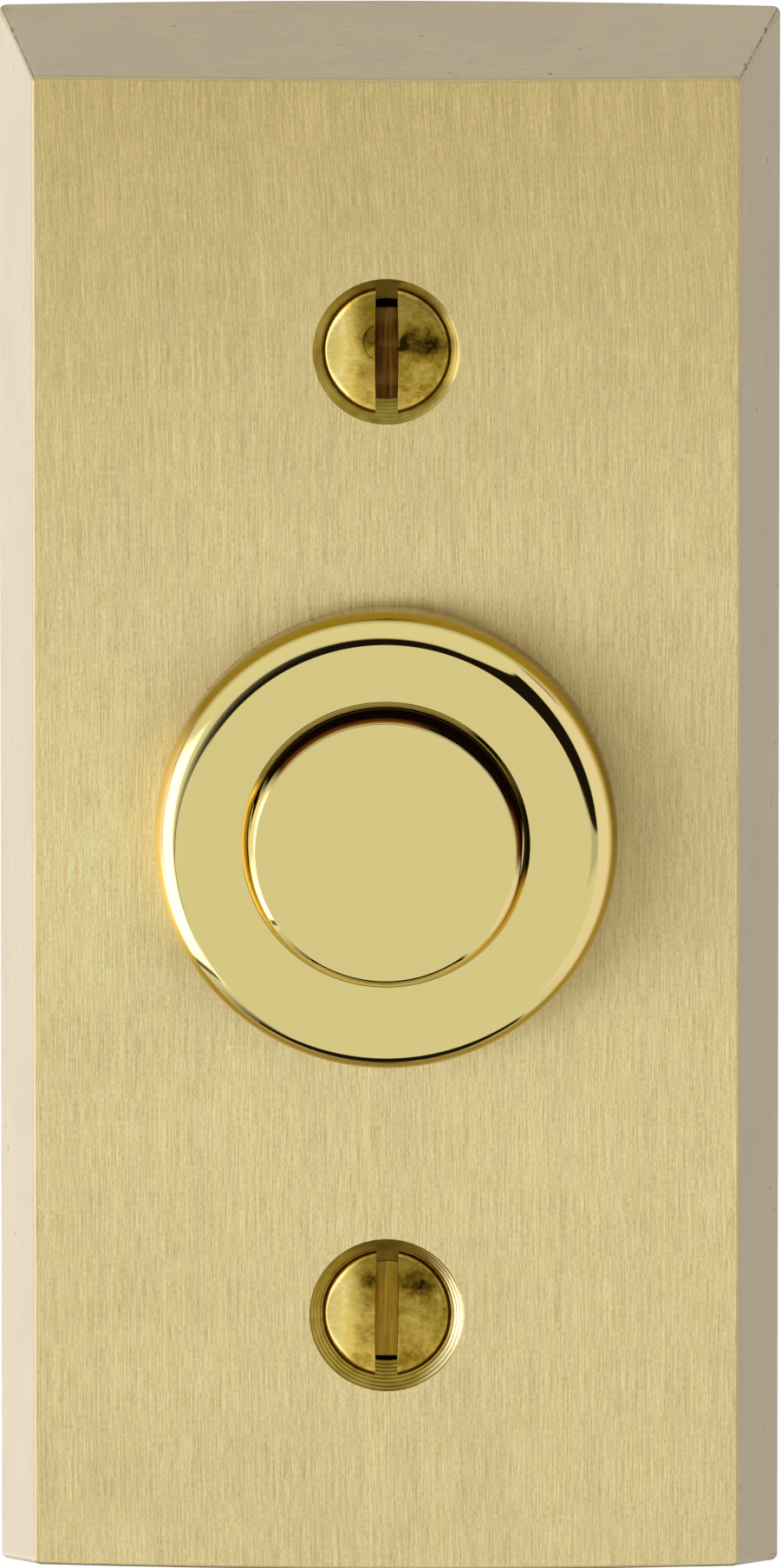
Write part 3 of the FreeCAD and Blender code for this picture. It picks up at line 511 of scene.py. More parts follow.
def mouth_finish(graph, base, x, z, radius, depth):
    """The ring's mouth: a painted golden reflection all round, a dull brighter one at its top, and a painted
    dark reflection line at its upper right.
    """
    at_mouth = graph.within(radius, 7.24 * MM, 7.56 * MM, 0.01 * MM)
    at_mouth = graph.math("MULTIPLY", at_mouth, graph.within(depth, 14.7 * MM, 15.098 * MM, 0.01 * MM))
    upper = graph.step(towards(graph, x, z, radius, 0.0, 1.0), 0.25, 0.65)
    base = graph.mix(at_mouth, base, graph.mix(upper, MOUTH_PAINTED_REFLECTION, MOUTH_TOP_PAINTED_REFLECTION))
    to_right = graph.within(towards(graph, x, z, radius, 1.0, 0.0), 0.60, 0.93, 0.06)
    dark = times(graph, at_mouth, upper, to_right, graph.step(radius, 7.38 * MM, 7.42 * MM))
    return graph.mix(dark, base, MOUTH_PAINTED_DARK_REFLECTION), at_mouth, upper


def button_tarnish_and_shade(graph, base, x, z, radius, depth):
    """Tarnish and a painted dark reflection on the button's upper edge, deeper towards its wall, and painted
    shade on the wall by the mouth.
    """
    above = towards(graph, x, z, radius, 0.34, 0.94)
    upper_right = towards(graph, x, z, radius, math.sqrt(0.5), math.sqrt(0.5))
    start = BUTTON_RADIUS - BUTTON_CHAMFER
    chamfer_end = BUTTON_FRONT - BUTTON_CHAMFER
    edge = times(
        graph,
        graph.step(radius, start, start + 0.04 * MM),
        graph.step(depth, chamfer_end - 0.05 * MM, chamfer_end),
        graph.step(above, 0.12, 0.34),
    )
    shade = graph.mix(graph.level(radius, start, start + 0.12 * MM), TARNISH_LIGHT, TARNISH_RED)
    # The black towards the edge's outside is tarnish and painted dark reflection
    shade = graph.mix(graph.step(radius, start + 0.15 * MM, BUTTON_RADIUS - 0.03 * MM), shade, BLACK_TARNISH_AND_REFLECTION)
    shade = graph.mix(graph.step(upper_right, 0.80, 0.95), shade, DEEP_TARNISH_AND_REFLECTION)
    base = graph.mix(edge, base, shade)
    # Painted shade on the wall in the gap by the mouth
    wall = times(
        graph,
        graph.within(radius, 7.12 * MM, 7.22 * MM, 0.01 * MM),
        graph.step(depth, 14.4 * MM, 15.0 * MM),
        graph.step(depth, BUTTON_FRONT - 0.2 * MM, BUTTON_FRONT - 0.3 * MM),
        graph.step(above, 0.0, 0.2),
    )
    dull_edge = graph.math("MULTIPLY", edge, graph.step(radius, start + 0.15 * MM, start + 0.22 * MM))
    return graph.mix(wall, base, WALL_PAINTED_SHADE), graph.math("MAXIMUM", wall, dull_edge)


def mirror_brass():
    """Polished brass with a trace of the wheel, a warm hem by the plate of grime and painted shade with
    painted light on its left, a painted golden reflection in the mouth, and tarnish and painted shade round
    the button.
    """
    material, graph, shader, place, normal = new_material("mirror_brass")
    x, y, z = graph.split(place)
    depth = graph.math("MULTIPLY", y, -1.0)
    radius = graph.vector("LENGTH", graph.join(x, 0.0, z))
    marks = graph.noise(graph.join(radius, y, 0.0), POLISH_MARKS, 2.0)
    cloud = graph.noise(place, MIRROR_CLOUDS, 2.0)
    base = graph.scaled(MIRROR_BRASS, graph.level(cloud, 0.3, 0.7, 0.99, 1.01))

    # Hem of the ring: grime and painted shade by the plate, with painted light on its left side
    hem = graph.math(
        "MULTIPLY", graph.step(depth, 14.72 * MM, 14.45 * MM), graph.step(radius, 11.0 * MM, 11.3 * MM)
    )
    to_left = graph.step(towards(graph, x, z, radius, 1.0, 0.0), -0.80, -0.96)
    base = graph.mix(hem, base, graph.mix(to_left, HEM_SHADE_AND_GRIME, HEM_PAINTED_LIGHT))

    base, at_mouth, upper = mouth_finish(graph, base, x, z, radius, depth)
    # tarnished marks the button's tarnish and painted shade, which are dull
    base, tarnished = button_tarnish_and_shade(graph, base, x, z, radius, depth)
    rough = graph.math(
        "ADD", graph.level(marks, 0.3, 0.7, 0.025, 0.045), graph.level(cloud, 0.4, 0.7, 0.0, 0.02)
    )
    rough = graph.blend(at_mouth, rough, graph.blend(upper, 0.30, 0.22))

    # The mouth is rolled over towards the front where its painted golden reflection lies
    painted_reflection_top = graph.math("MULTIPLY", at_mouth, upper)
    rolled_over = graph.vector("ADD", graph.vector("MULTIPLY", normal, (0.2, 0.2, 0.2)), (0.0, -0.8, 0.0))
    surface = graph.bump(cloud, 0.004 * MM, 0.3)
    surface = graph.mix(painted_reflection_top, surface, graph.vector("NORMALIZE", rolled_over))
    metal(graph, shader, base, rough, surface)

    # The button's tarnish and painted shade and the mouth's painted golden reflection are dull, so they hide
    # the metal's shine
    dull = graph.math("MAXIMUM", tarnished, painted_reflection_top)
    graph.feed(shader.inputs["Metallic"], graph.math("SUBTRACT", 1.0, dull))
    shader.inputs["Specular IOR Level"].default_value = 0.0
    return material


def head_wear_and_light(graph, name, x, z, cloud, fleck):
    """1 where a screw's head is light, 0 where it is dark: mottled, with a painted highlight at its left and
    lower side, and blotched with tarnish and painted shade.
    """
    mottle = graph.blend(0.4, cloud, fleck)
    worn = graph.math("ADD", graph.level(mottle, 0.3, 0.7, -0.38, 0.38), 0.58)
    # Painted highlight on the head's left side, and a little on its lower side
    worn = graph.math("ADD", worn, graph.step(x, -0.9 * MM, -2.9 * MM, 0.0, 0.60))
    worn = graph.math("ADD", worn, graph.step(z, -0.6 * MM, -1.6 * MM, 0.0, 0.08))
    # The dark blotches are partly tarnish and partly painted shade
    for across, up, wide, tall, strength in BLOTCHES[name]:
        away = placed(graph, x, z, across, up, wide, tall)
        away = graph.math("ADD", away, graph.level(fleck, 0.3, 0.7, -0.10, 0.10))
        worn = graph.math("SUBTRACT", worn, graph.step(away, 1.3, 0.4, 0.0, strength))
    bowl = placed(graph, x, z, -0.50, 0.45, 0.72, 0.90)
    left_half = graph.step(x, -0.6 * MM, -0.7 * MM)
    scratch = graph.math("MULTIPLY", graph.within(bowl, 0.94, 1.04, 0.05), left_half)
    return graph.math("SUBTRACT", worn, graph.math("MULTIPLY", scratch, SCRATCH_DEPTHS[name]))


def slot_tone(graph, name, local, z):
    """A slot's floor: tarnished and streaked along the slot, with black painted shade at its ends."""
    lines = graph.noise(graph.vector("MULTIPLY", local, (1.0, 0.2, 0.05)), GRAIN, 3.0, 0.6)
    bands = graph.noise(graph.vector("MULTIPLY", local, (0.15, 0.2, 1.0)), BROAD_BANDS, 2.0)
    streaky, banded = FLOOR_CONTRASTS[name]
    floor = graph.scaled(FLOOR_TONES[name], graph.level(lines, 0.36, 0.64, 1 - streaky, 1 + streaky))
    floor = graph.mix(graph.step(bands, 0.50, 0.62, 0.0, banded), floor, SLOT_LIGHT)
    over, under = FLOOR_ENDS[name]
    # Painted shade: black at both ends of the floor
    ends = graph.math(
        "MAXIMUM", graph.step(z, over - 0.05 * MM, over), graph.step(z, under + 0.05 * MM, under)
    )
    return graph.mix(ends, floor, SLOT_END_PAINTED_SHADE)


def screw_brass(name, side):
    """Handled screw brass: a mottled head blotched with tarnish and painted shade, a painted highlight at its
    left, and a tarnished slot with painted shade at its ends.
    """
    material, graph, shader, place, _ = new_material("screw_brass_" + name)
    local = graph.vector("SUBTRACT", place, (0.0, 0.0, side * SCREW_PLACE))
    x, y, z = graph.split(local)
    radius = graph.vector("LENGTH", graph.join(x, 0.0, z))
    cloud = graph.noise(local, HEAD_CLOUDS, 4.0, 0.62)
    fleck = graph.noise(local, FLECKS, 3.0, 0.7)
    # worn mixes real mottling and tarnish with painted highlight and painted shade
    worn = head_wear_and_light(graph, name, x, z, cloud, fleck)
    base = graph.mix(graph.level(worn, 0.0, 0.45), SCREW_BLACK, SCREW_BROWN)
    base = graph.mix(graph.level(worn, 0.45, 0.85), base, SCREW_GOLD)
    # The lightest colour is a painted highlight
    base = graph.mix(graph.level(worn, 0.85, 1.20), base, SCREW_WORN_HIGHLIGHT)
    # Painted shade round the head's rim, in the crevice where it meets the countersink
    base = graph.mix(graph.step(radius, 3.19 * MM, 3.26 * MM, 0.0, 0.7), base, HEAD_RIM_SHADE)

    top = -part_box("wood_screw_" + name)[0].y
    sunk = graph.step(graph.math("MULTIPLY", y, -1.0), top - 0.35 * MM, top - 0.5 * MM)
    in_slot = graph.math("LESS_THAN", graph.math("ABSOLUTE", x), SLOT_WIDTH / 2 + 0.06 * MM)
    slot = graph.math("MULTIPLY", sunk, in_slot)
    base = graph.mix(slot, base, slot_tone(graph, name, local, z))
    rough = graph.level(worn, 0.2, 1.0, 0.44, 0.27)
    rough = graph.blend(slot, rough, 0.5)

    # Relief: dents, fainter at the worn left, hairlines, and the left side worn round
    dents = times(graph, graph.blend(0.35, cloud, fleck), graph.step(x, -2.9 * MM, -1.9 * MM, 0.35, 1.0))
    surface = graph.bump(dents, 0.035 * MM)
    hairlines = graph.noise(graph.vector("MULTIPLY", local, (0.25, 1.0, 1.0)), GRAIN, 3.0, 0.6)
    surface = graph.bump(hairlines, 0.008 * MM, 1.0, surface)
    surface = graph.bump(graph.step(x, -3.2 * MM, -1.3 * MM), 0.30 * MM, 1.0, surface)
    metal(graph, shader, base, rough, surface)
    return material


def machined_brass(name, tone, roughness):
    """Turned or rolled brass of the inner pieces, a little dulled."""
    material, graph, shader, place, _ = new_material(name)
    cloud = graph.noise(place, 350.0, 3.0)
    grain = graph.noise(graph.vector("MULTIPLY", place, (1.0, 1.0, 0.08)), 6000.0, 3.0, 0.6)
    dulled = tuple(0.62 * part for part in tone)
    base = graph.mix(graph.step(cloud, 0.45, 0.75, 0.0, 0.7), tone, dulled)
    base = graph.scaled(base, graph.level(grain, 0.3, 0.7, 0.94, 1.06))
    rough = graph.math("ADD", graph.level(cloud, 0.3, 0.7, -0.05, 0.08), roughness)
    metal(graph, shader, base, rough, graph.bump(grain, 0.006 * MM))
    return material


def moulded_insulator():
    """Dark brown moulded resin, with faint flow marks."""
    material, graph, shader, place, _ = new_material("moulded_insulator")
    flow = graph.noise(graph.vector("MULTIPLY", place, (1.0, 1.0, 0.35)), 260.0, 4.0, 0.6)
    dust = graph.noise(place, 4200.0, 2.0)
    base = graph.mix(flow, (0.022, 0.012, 0.007), (0.05, 0.027, 0.015))
    base = graph.mix(graph.step(dust, 0.62, 0.75, 0.0, 0.25), base, (0.10, 0.07, 0.05))
    graph.feed(shader.inputs["Base Color"], base)
    graph.feed(shader.inputs["Roughness"], graph.level(flow, 0.3, 0.7, 0.30, 0.46))
    graph.feed(shader.inputs["Normal"], graph.bump(graph.blend(0.4, flow, dust), 0.01 * MM))
    return material


def spring_steel():
    """Drawn spring wire."""
    material, graph, shader, place, _ = new_material("spring_steel")
    drawn = graph.noise(place, 2600.0, 3.0)
    base = graph.mix(drawn, (0.42, 0.42, 0.43), (0.58, 0.575, 0.56))
    metal(graph, shader, base, graph.level(drawn, 0.3, 0.7, 0.26, 0.36), graph.bump(drawn, 0.004 * MM))
    return material


# Meshes
def arc(centre, radius, start, end, steps):
    """Points of (radius, height) on an arc, its angles in degrees from the outward direction."""
    points = []
    for number in range(steps + 1):
        angle = math.radians(start + (end - start) * number / steps)
        points.append((centre[0] + radius * math.cos(angle), centre[1] + radius * math.sin(angle)))
    return points


def eased(before, corner, after, size=EASE, steps=6):
    """Points of a small curve that rounds a corner between the points before and after it."""
    start, end = [
        tuple(c + (n - c) * size / math.dist(corner, near) for c, n in zip(corner, near))
        for near in (before, after)
    ]
    points = []
    for number in range(steps + 1):
        share = number / steps
        weights = ((1 - share) ** 2, 2 * share * (1 - share), share**2)
        points.append(tuple(sum(w * p[k] for w, p in zip(weights, (start, corner, end))) for k in (0, 1)))
    return points


def firm(corners, near):
    """Adds a point close to both ends of each long straight run, which keeps its shading flat."""
    points = []
    for here, after in zip(corners, corners[1:] + corners[:1]):
        points.append(here)
        run = math.dist(here, after)
        if run > 6 * near:
            for share in (near / run, 1 - near / run):
                points.append(tuple(a + (b - a) * share for a, b in zip(here, after)))
    return points


def turned(name, rows, segments, centre=(0.0, 0.0), closed=False):
    """A mesh turned about a line along Y through centre.

    A row is a radius and a height. The radius may be a function of the angle.
    """
    mesh = bmesh.new()
    rings = []
    for radius, height in rows:
        if not callable(radius) and radius < 1e-9:
            rings.append([mesh.verts.new((centre[0], -height, centre[1]))])
            continue
        ring = []
        for number in range(segments):
            angle = 2 * math.pi * number / segments
            size = radius(angle) if callable(radius) else radius
            place = (centre[0] + size * math.cos(angle), -height, centre[1] + size * math.sin(angle))
            ring.append(mesh.verts.new(place))
        rings.append(ring)
    pairs = list(zip(rings, rings[1:]))
    if closed:
        pairs.append((rings[-1], rings[0]))
    for lower, upper in pairs:
        for number in range(segments):
            after = (number + 1) % segments
            corners = [lower[number % len(lower)], lower[after % len(lower)]]
            corners += [upper[after % len(upper)], upper[number % len(upper)]]
            mesh.faces.new(list(dict.fromkeys(corners)))
    return finished(name, mesh)


def finished(name, mesh, sharp=35.0):
    """An object from a bmesh, with outward normals, smooth but for its sharp edges."""
    bmesh.ops.recalc_face_normals(mesh, faces=mesh.faces)
    data = bpy.data.meshes.new(name)
    mesh.to_mesh(data)
    mesh.free()
    data.shade_smooth()
    data.set_sharp_from_angle(angle=math.radians(sharp))
    piece = bpy.data.objects.new(name, data)
    bpy.context.scene.collection.objects.link(piece)
    return piece


def dress(piece, material, body, slot, *nodes):
    """Material and body of a piece that stands for CAD nodes, which it hides. The slot is not used."""
    piece.data.materials.clear()
    piece.data.materials.append(material)
    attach(piece, body)
    if nodes:
        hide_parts(*nodes)


def ring_piece(material):
    outer = arc((RING_RADIUS - RING_ROUND, RING_FRONT - RING_ROUND), RING_ROUND, 0, 90, 24)
    flat_edge = (RING_RADIUS - RING_ROUND, RING_FRONT)
    mouth_out = (BORE_RADIUS + MOUTH_CHAMFER, RING_FRONT)
    mouth_in = (BORE_RADIUS, RING_FRONT - MOUTH_CHAMFER)
    corners = [
        (CHAMBER_RADIUS, BARREL_END),
        (BARREL_RADIUS - EDGE_BREAK, BARREL_END),
        (BARREL_RADIUS, BARREL_END + EDGE_BREAK),
        (BARREL_RADIUS, FACE_HEIGHT),
        (RING_RADIUS - EDGE_BREAK, FACE_HEIGHT),
        (RING_RADIUS, FACE_HEIGHT + EDGE_BREAK),
    ]
    corners += outer
    corners += eased(flat_edge, mouth_out, mouth_in, CRISP_EASE)
    corners += eased(mouth_out, mouth_in, (BORE_RADIUS, SHOULDER))
    corners += [(BORE_RADIUS, SHOULDER), (CHAMBER_RADIUS, SHOULDER)]
    piece = turned("bezel_ring_polished", firm(corners, 0.02 * MM), 320, closed=True)
    dress(piece, material, "case", "polished_brass", "bezel_ring")


def button_piece(material):
    edge_front = (BUTTON_RADIUS - BUTTON_CHAMFER, BUTTON_FRONT)
    edge_back = (BUTTON_RADIUS, BUTTON_FRONT - BUTTON_CHAMFER)
    rows = [(0.0, BUTTON_FRONT), (edge_front[0] - 0.05 * MM, BUTTON_FRONT)]
    rows += eased((0.0, BUTTON_FRONT), edge_front, edge_back, 0.02 * MM)
    rows += eased(edge_front, edge_back, (BUTTON_RADIUS, FLANGE_FRONT))
    rows += [
        (BUTTON_RADIUS, FLANGE_FRONT + 0.03 * MM),
        (BUTTON_RADIUS, FLANGE_FRONT),
        (FLANGE_RADIUS - EDGE_BREAK, FLANGE_FRONT),
        (FLANGE_RADIUS, FLANGE_FRONT - EDGE_BREAK),
        (FLANGE_RADIUS, BUTTON_BACK + EDGE_BREAK),
        (FLANGE_RADIUS - EDGE_BREAK, BUTTON_BACK),
        (TAPPED_RADIUS, BUTTON_BACK),
        (TAPPED_RADIUS, TAPPED_END),
        (0.0, TAPPED_END),
    ]
    piece = turned("push_button_polished", rows, 288)
    dress(piece, material, "button", "polished_brass", "button")


def thread_rows(start, tip):
    """Rows of a wood-screw thread from a height down to the tip, its crests fading into the point."""
    rows = []
    count = 300
    for number in range(1, count):
        height = start + (tip - start) * number / count
        from_tip = height - tip
        taper = min(1.0, (from_tip / POINT_LENGTH) ** 0.8)
        fade = min(1.0, (start - height) / THREAD_PITCH)

        def radius(angle, height=height, taper=taper, fade=fade):
            phase = (height / THREAD_PITCH + angle / (2 * math.pi)) % 1.0
            crest = max(0.0, 1.0 - abs(phase - 0.5) / 0.30)
            sharp = min(1.0, 1.15 * crest)
            return taper * (CORE_RADIUS + fade * (SHANK_RADIUS - CORE_RADIUS) * sharp)

        rows.append((radius, height))
    return rows


def slot_cutter(top, up, turn):
    """A block as wide as the slot, with its mouth broken to a wider edge."""
    mesh = bmesh.new()
    half = SLOT_WIDTH / 2
    mouth = half + SLOT_BREAK
    floor = top - SLOT_DEPTH
    profile = [
        (-half + 0.06 * MM, floor),
        (half - 0.06 * MM, floor),
        (half, floor + 0.05 * MM),
        (half, top - SLOT_BREAK - 0.02 * MM),
        (mouth, top + 0.02 * MM),
        (mouth, top + MM),
        (-mouth, top + MM),
        (-mouth, top + 0.02 * MM),
        (-half, top - SLOT_BREAK - 0.02 * MM),
        (-half, floor + 0.05 * MM),
    ]
    ends = []
    for along in (-5.0 * MM, 5.0 * MM):
        ends.append([mesh.verts.new((across, -height, along)) for across, height in profile])
    mesh.faces.new(ends[0])
    mesh.faces.new(list(reversed(ends[1])))
    for number in range(len(profile)):
        after = (number + 1) % len(profile)
        mesh.faces.new([ends[0][number], ends[1][number], ends[1][after], ends[0][after]])
    bmesh.ops.recalc_face_normals(mesh, faces=mesh.faces)
    data = bpy.data.meshes.new("slot_cutter")
    mesh.to_mesh(data)
    mesh.free()
    cutter = bpy.data.objects.new("slot_cutter", data)
    cutter.matrix_world = Matrix.Translation((0, 0, up)) @ Matrix.Rotation(math.radians(turn), 4, "Y")
    bpy.context.scene.collection.objects.link(cutter)
    return cutter


def cut(piece, cutter):
    """Cuts the cutter out of the piece for good and removes it."""
    modifier = piece.modifiers.new("cut", "BOOLEAN")
    modifier.operation = "DIFFERENCE"
    modifier.solver = "EXACT"
    modifier.object = cutter
    bpy.context.view_layer.update()
    shape = bpy.data.meshes.new_from_object(piece.evaluated_get(bpy.context.evaluated_depsgraph_get()))
    piece.modifiers.clear()
    old = piece.data
    piece.data = shape
    shape.name = old.name
    bpy.data.meshes.remove(old)
    bpy.data.objects.remove(cutter)
    shape.shade_smooth()
    shape.set_sharp_from_angle(angle=math.radians(35.0))


def wood_screw(name, side, turn, material):
    node = "wood_screw_" + name
    tip = -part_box(node)[1].y
    top = tip + SCREW_LENGTH
    land = top - HEAD_DOME
    cone_top = land - HEAD_LAND
    cone_end = cone_top - (HEAD_RADIUS - SHANK_RADIUS)
    rows = [(0.0, top)]
    shoulder = 0.42 * MM
    for number in range(1, 15):
        share = number / 14
        radius = share * (HEAD_RADIUS - shoulder)
        rows.append((radius, top - 0.55 * HEAD_DOME * (radius / HEAD_RADIUS) ** 2))
    rim = rows[-1][1]
    for number in range(1, 9):
        angle = math.pi / 2 * number / 8
        radius = HEAD_RADIUS - shoulder + shoulder * math.sin(angle)
        rows.append((radius, land + (rim - land) * math.cos(angle)))
    rows += [
        (HEAD_RADIUS, cone_top),
        (SHANK_RADIUS, cone_end),
        (SHANK_RADIUS, -THREAD_START + RUNOUT + 0.5 * MM),
        (SHANK_RADIUS, THREAD_START + RUNOUT),
        (CORE_RADIUS, THREAD_START + 0.15 * MM),
    ]
    rows += thread_rows(THREAD_START, tip)
    rows.append((0.0, tip))
    piece = turned(node + "_detailed", rows, 96, centre=(0.0, side * SCREW_PLACE))
    cut(piece, slot_cutter(top, side * SCREW_PLACE, turn))
    dress(piece, material, "case", "screw_brass", node)


def coil_spring(material):
    """A compression spring with a closed turn at each end."""
    wire = 0.25 * MM
    radius = SPRING_HIGH.x - wire
    bottom = -SPRING_HIGH.y + wire
    top = -SPRING_LOW.y - wire
    turns = 4.5
    dead = 0.75
    dead_rise = dead * 2.04 * wire
    mesh = bmesh.new()
    steps = 288
    around = 12
    rings = []
    for number in range(steps + 1):
        turn = turns * number / steps
        if turn < dead:
            height = bottom + dead_rise * turn / dead
        elif turn > turns - dead:
            height = top - dead_rise * (turns - turn) / dead
        else:
            share = (turn - dead) / (turns - 2 * dead)
            height = bottom + dead_rise + share * (top - bottom - 2 * dead_rise)
        angle = 2 * math.pi * turn
        outward = Vector((math.cos(angle), 0, math.sin(angle)))
        ring = []
        for k in range(around):
            bend = 2 * math.pi * k / around
            place = outward * (radius + wire * math.cos(bend))
            place += Vector((0, -height - wire * math.sin(bend), 0))
            ring.append(mesh.verts.new(place))
        rings.append(ring)
    for first, second in zip(rings, rings[1:]):
        for k in range(around):
            after = (k + 1) % around
            mesh.faces.new([first[k], first[after], second[after], second[k]])
    mesh.faces.new(rings[0])
    mesh.faces.new(list(reversed(rings[-1])))
    piece = finished("return_spring_coil", mesh)
    dress(piece, material, "case", "spring_steel", "return_spring")
    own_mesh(piece)


# Stage, light and camera. Cards and dark patches are placed by azimuth, from the front towards the right,
# and by elevation, both in degrees.
CARD_LOW = (0.82, 0.82, 0.82)
CARD_HIGH = (0.87, 0.87, 0.86)
BACK_LEFT = (0.875, 0.855, 0.925)
BACK_RIGHT = (0.365, 0.378, 0.395)
BACK_TOP = (0.58, 0.555, 0.57)
RIGHT_CARD = (0.95, 0.885, 0.98)
LEFT_BOX = (2.5, 2.5, 3.1)
FAR_LEFT_CARD = (1.05, 0.96, 0.98)
DARK_SIDE = (0.012, 0.008, 0.007)

# The camera's dark band: its low edge, its high edge and its strength, each by azimuth
BAND_LOWS = [(-39, -13.5), (-35, -11), (-30, -7.5), (-24, -5), (-18, -4)]
BAND_LOWS += [(-10, -5), (-4, -7.5), (0, -8.4), (8, -8.4)]
BAND_HIGHS = [(-39, -9), (-35, -5), (-30, 5), (-22, 13), (-15, 18), (-6, 18), (0, 16), (8, 11)]
BAND_FADES = [(-39, 0.7), (-34, 0.68), (-28, 0.55), (-22, 0.75), (-14, 0.93), (-6, 1), (8, 1)]

# Where the line between the front and the left card runs: azimuth by elevation
CARD_LINE = [(-40, -57), (-30, -48), (-20, -42), (-10, -38.5), (0, -35), (9, -30)]


def cards(graph, x, azimuth, elevation):
    """Pale cards all round, a brighter one on the left and darker ones behind."""
    shade = graph.mix(graph.step(elevation, 0, 40), CARD_LOW, CARD_HIGH)
    behind = graph.step(graph.math("ABSOLUTE", azimuth), 100, 130)
    back = graph.mix(graph.step(x, -0.45, 0.45), BACK_LEFT, BACK_RIGHT)
    back = graph.mix(graph.step(elevation, 5, 30), back, BACK_TOP)
    shade = graph.mix(behind, shade, back)
    right = times(graph, graph.within(azimuth, 42, 108, 5), graph.within(elevation, -44, 40, 6))
    shade = graph.mix(right, shade, RIGHT_CARD)
    left = times(graph, graph.within(azimuth, -108, -47, 6), graph.within(elevation, -40, 16, 5))
    far_left = times(graph, graph.within(azimuth, -112, -88, 4), graph.step(elevation, -26, -8))
    return graph.mix(left, shade, graph.mix(far_left, LEFT_BOX, FAR_LEFT_CARD))


def camera_side(graph, azimuth, elevation):
    """1 where the camera and its slanted flag hide the cards."""
    diagonal = graph.math("ADD", graph.math("MULTIPLY", azimuth, 0.757), 4.2)
    flag = times(
        graph,
        graph.within(azimuth, 0, 38, 1.2),
        graph.step(graph.math("SUBTRACT", elevation, diagonal), 0.8, -0.8),
        graph.step(elevation, -8.6, -7.4),
    )
    band = times(
        graph,
        graph.step(graph.math("SUBTRACT", elevation, graph.curve(azimuth, BAND_LOWS)), -0.5, 0.7),
        graph.step(graph.math("SUBTRACT", elevation, graph.curve(azimuth, BAND_HIGHS)), 4.0, -4.0),
        graph.curve(azimuth, BAND_FADES),
        graph.within(azimuth, -39, 8, 1.0),
    )
    return graph.math("MAXIMUM", flag, band)


def card_gaps(graph, azimuth, elevation):
    """Dark gaps between and below the cards, each with its strength."""
    below_flag = times(graph, graph.within(azimuth, 13, 38, 3), graph.within(elevation, -13.0, -7.0, 1.5))
    from_line = graph.math("SUBTRACT", azimuth, graph.curve(elevation, CARD_LINE))
    line = times(graph, graph.within(from_line, -1.0, 1.0, 1.4), graph.within(elevation, -40, -9, 2.0))
    sag = graph.math("POWER", graph.math("DIVIDE", graph.math("ADD", azimuth, 75), 30), 2.0)
    card_foot = graph.math("ADD", graph.math("MULTIPLY", sag, 3.0), -42.0)
    under_card = graph.within(graph.math("SUBTRACT", elevation, card_foot), -1.6, 1.2, 0.8)
    under_card = graph.math("MULTIPLY", under_card, graph.within(azimuth, -108, -52, 3))
    under_box = times(graph, graph.within(azimuth, -125, -60, 10), graph.step(elevation, -42, -62))
    rise = graph.math("MINIMUM", graph.math("POWER", graph.math("DIVIDE", azimuth, 75), 2.0), 1.2)
    floor_edge = graph.math("ADD", graph.math("MULTIPLY", rise, 12.0), -73.0)
    nadir = graph.step(graph.math("SUBTRACT", elevation, floor_edge), 2.0, -2.0)
    smudge = times(graph, graph.within(azimuth, 72, 82, 2), graph.within(elevation, 32, 46, 3))
    stand = times(graph, graph.within(azimuth, -103, -96, 2), graph.within(elevation, 8, 23, 3))
    gaps = [(line, 0.8), (below_flag, 0.3), (under_card, 0.9), (under_box, 0.85)]
    return gaps + [(nadir, 1.0), (smudge, 0.6), (stand, 0.5)]


def studio_world():
    """Plain soft light from cards all round, with the camera's dark side and the gaps between the cards."""
    world = bpy.data.worlds.new("studio")
    bpy.context.scene.world = world
    world.use_nodes = True
    graph = Graph(world.node_tree)
    way = graph.node("ShaderNodeTexCoord").outputs["Generated"]
    x, y, z = graph.split(graph.vector("NORMALIZE", way))
    front = graph.math("MULTIPLY", y, -1.0)
    azimuth = graph.math("DEGREES", graph.math("ARCTAN2", x, front))
    elevation = graph.math("DEGREES", graph.math("ARCSINE", z))
    dark = camera_side(graph, azimuth, elevation)
    for gap, strength in card_gaps(graph, azimuth, elevation):
        dark = graph.math("MAXIMUM", dark, graph.math("MULTIPLY", gap, strength))
    shade = graph.mix(dark, cards(graph, x, azimuth, elevation), DARK_SIDE)

    # The camera sees plain white behind the object
    seen = graph.node("ShaderNodeLightPath").outputs["Is Camera Ray"]
    shade = graph.mix(seen, shade, (1.0, 1.0, 1.0))
    background = graph.node("ShaderNodeBackground")
    graph.feed(background.inputs["Color"], shade)
    output = graph.node("ShaderNodeOutputWorld")
    graph.feed(output.inputs["Surface"], background.outputs[0])


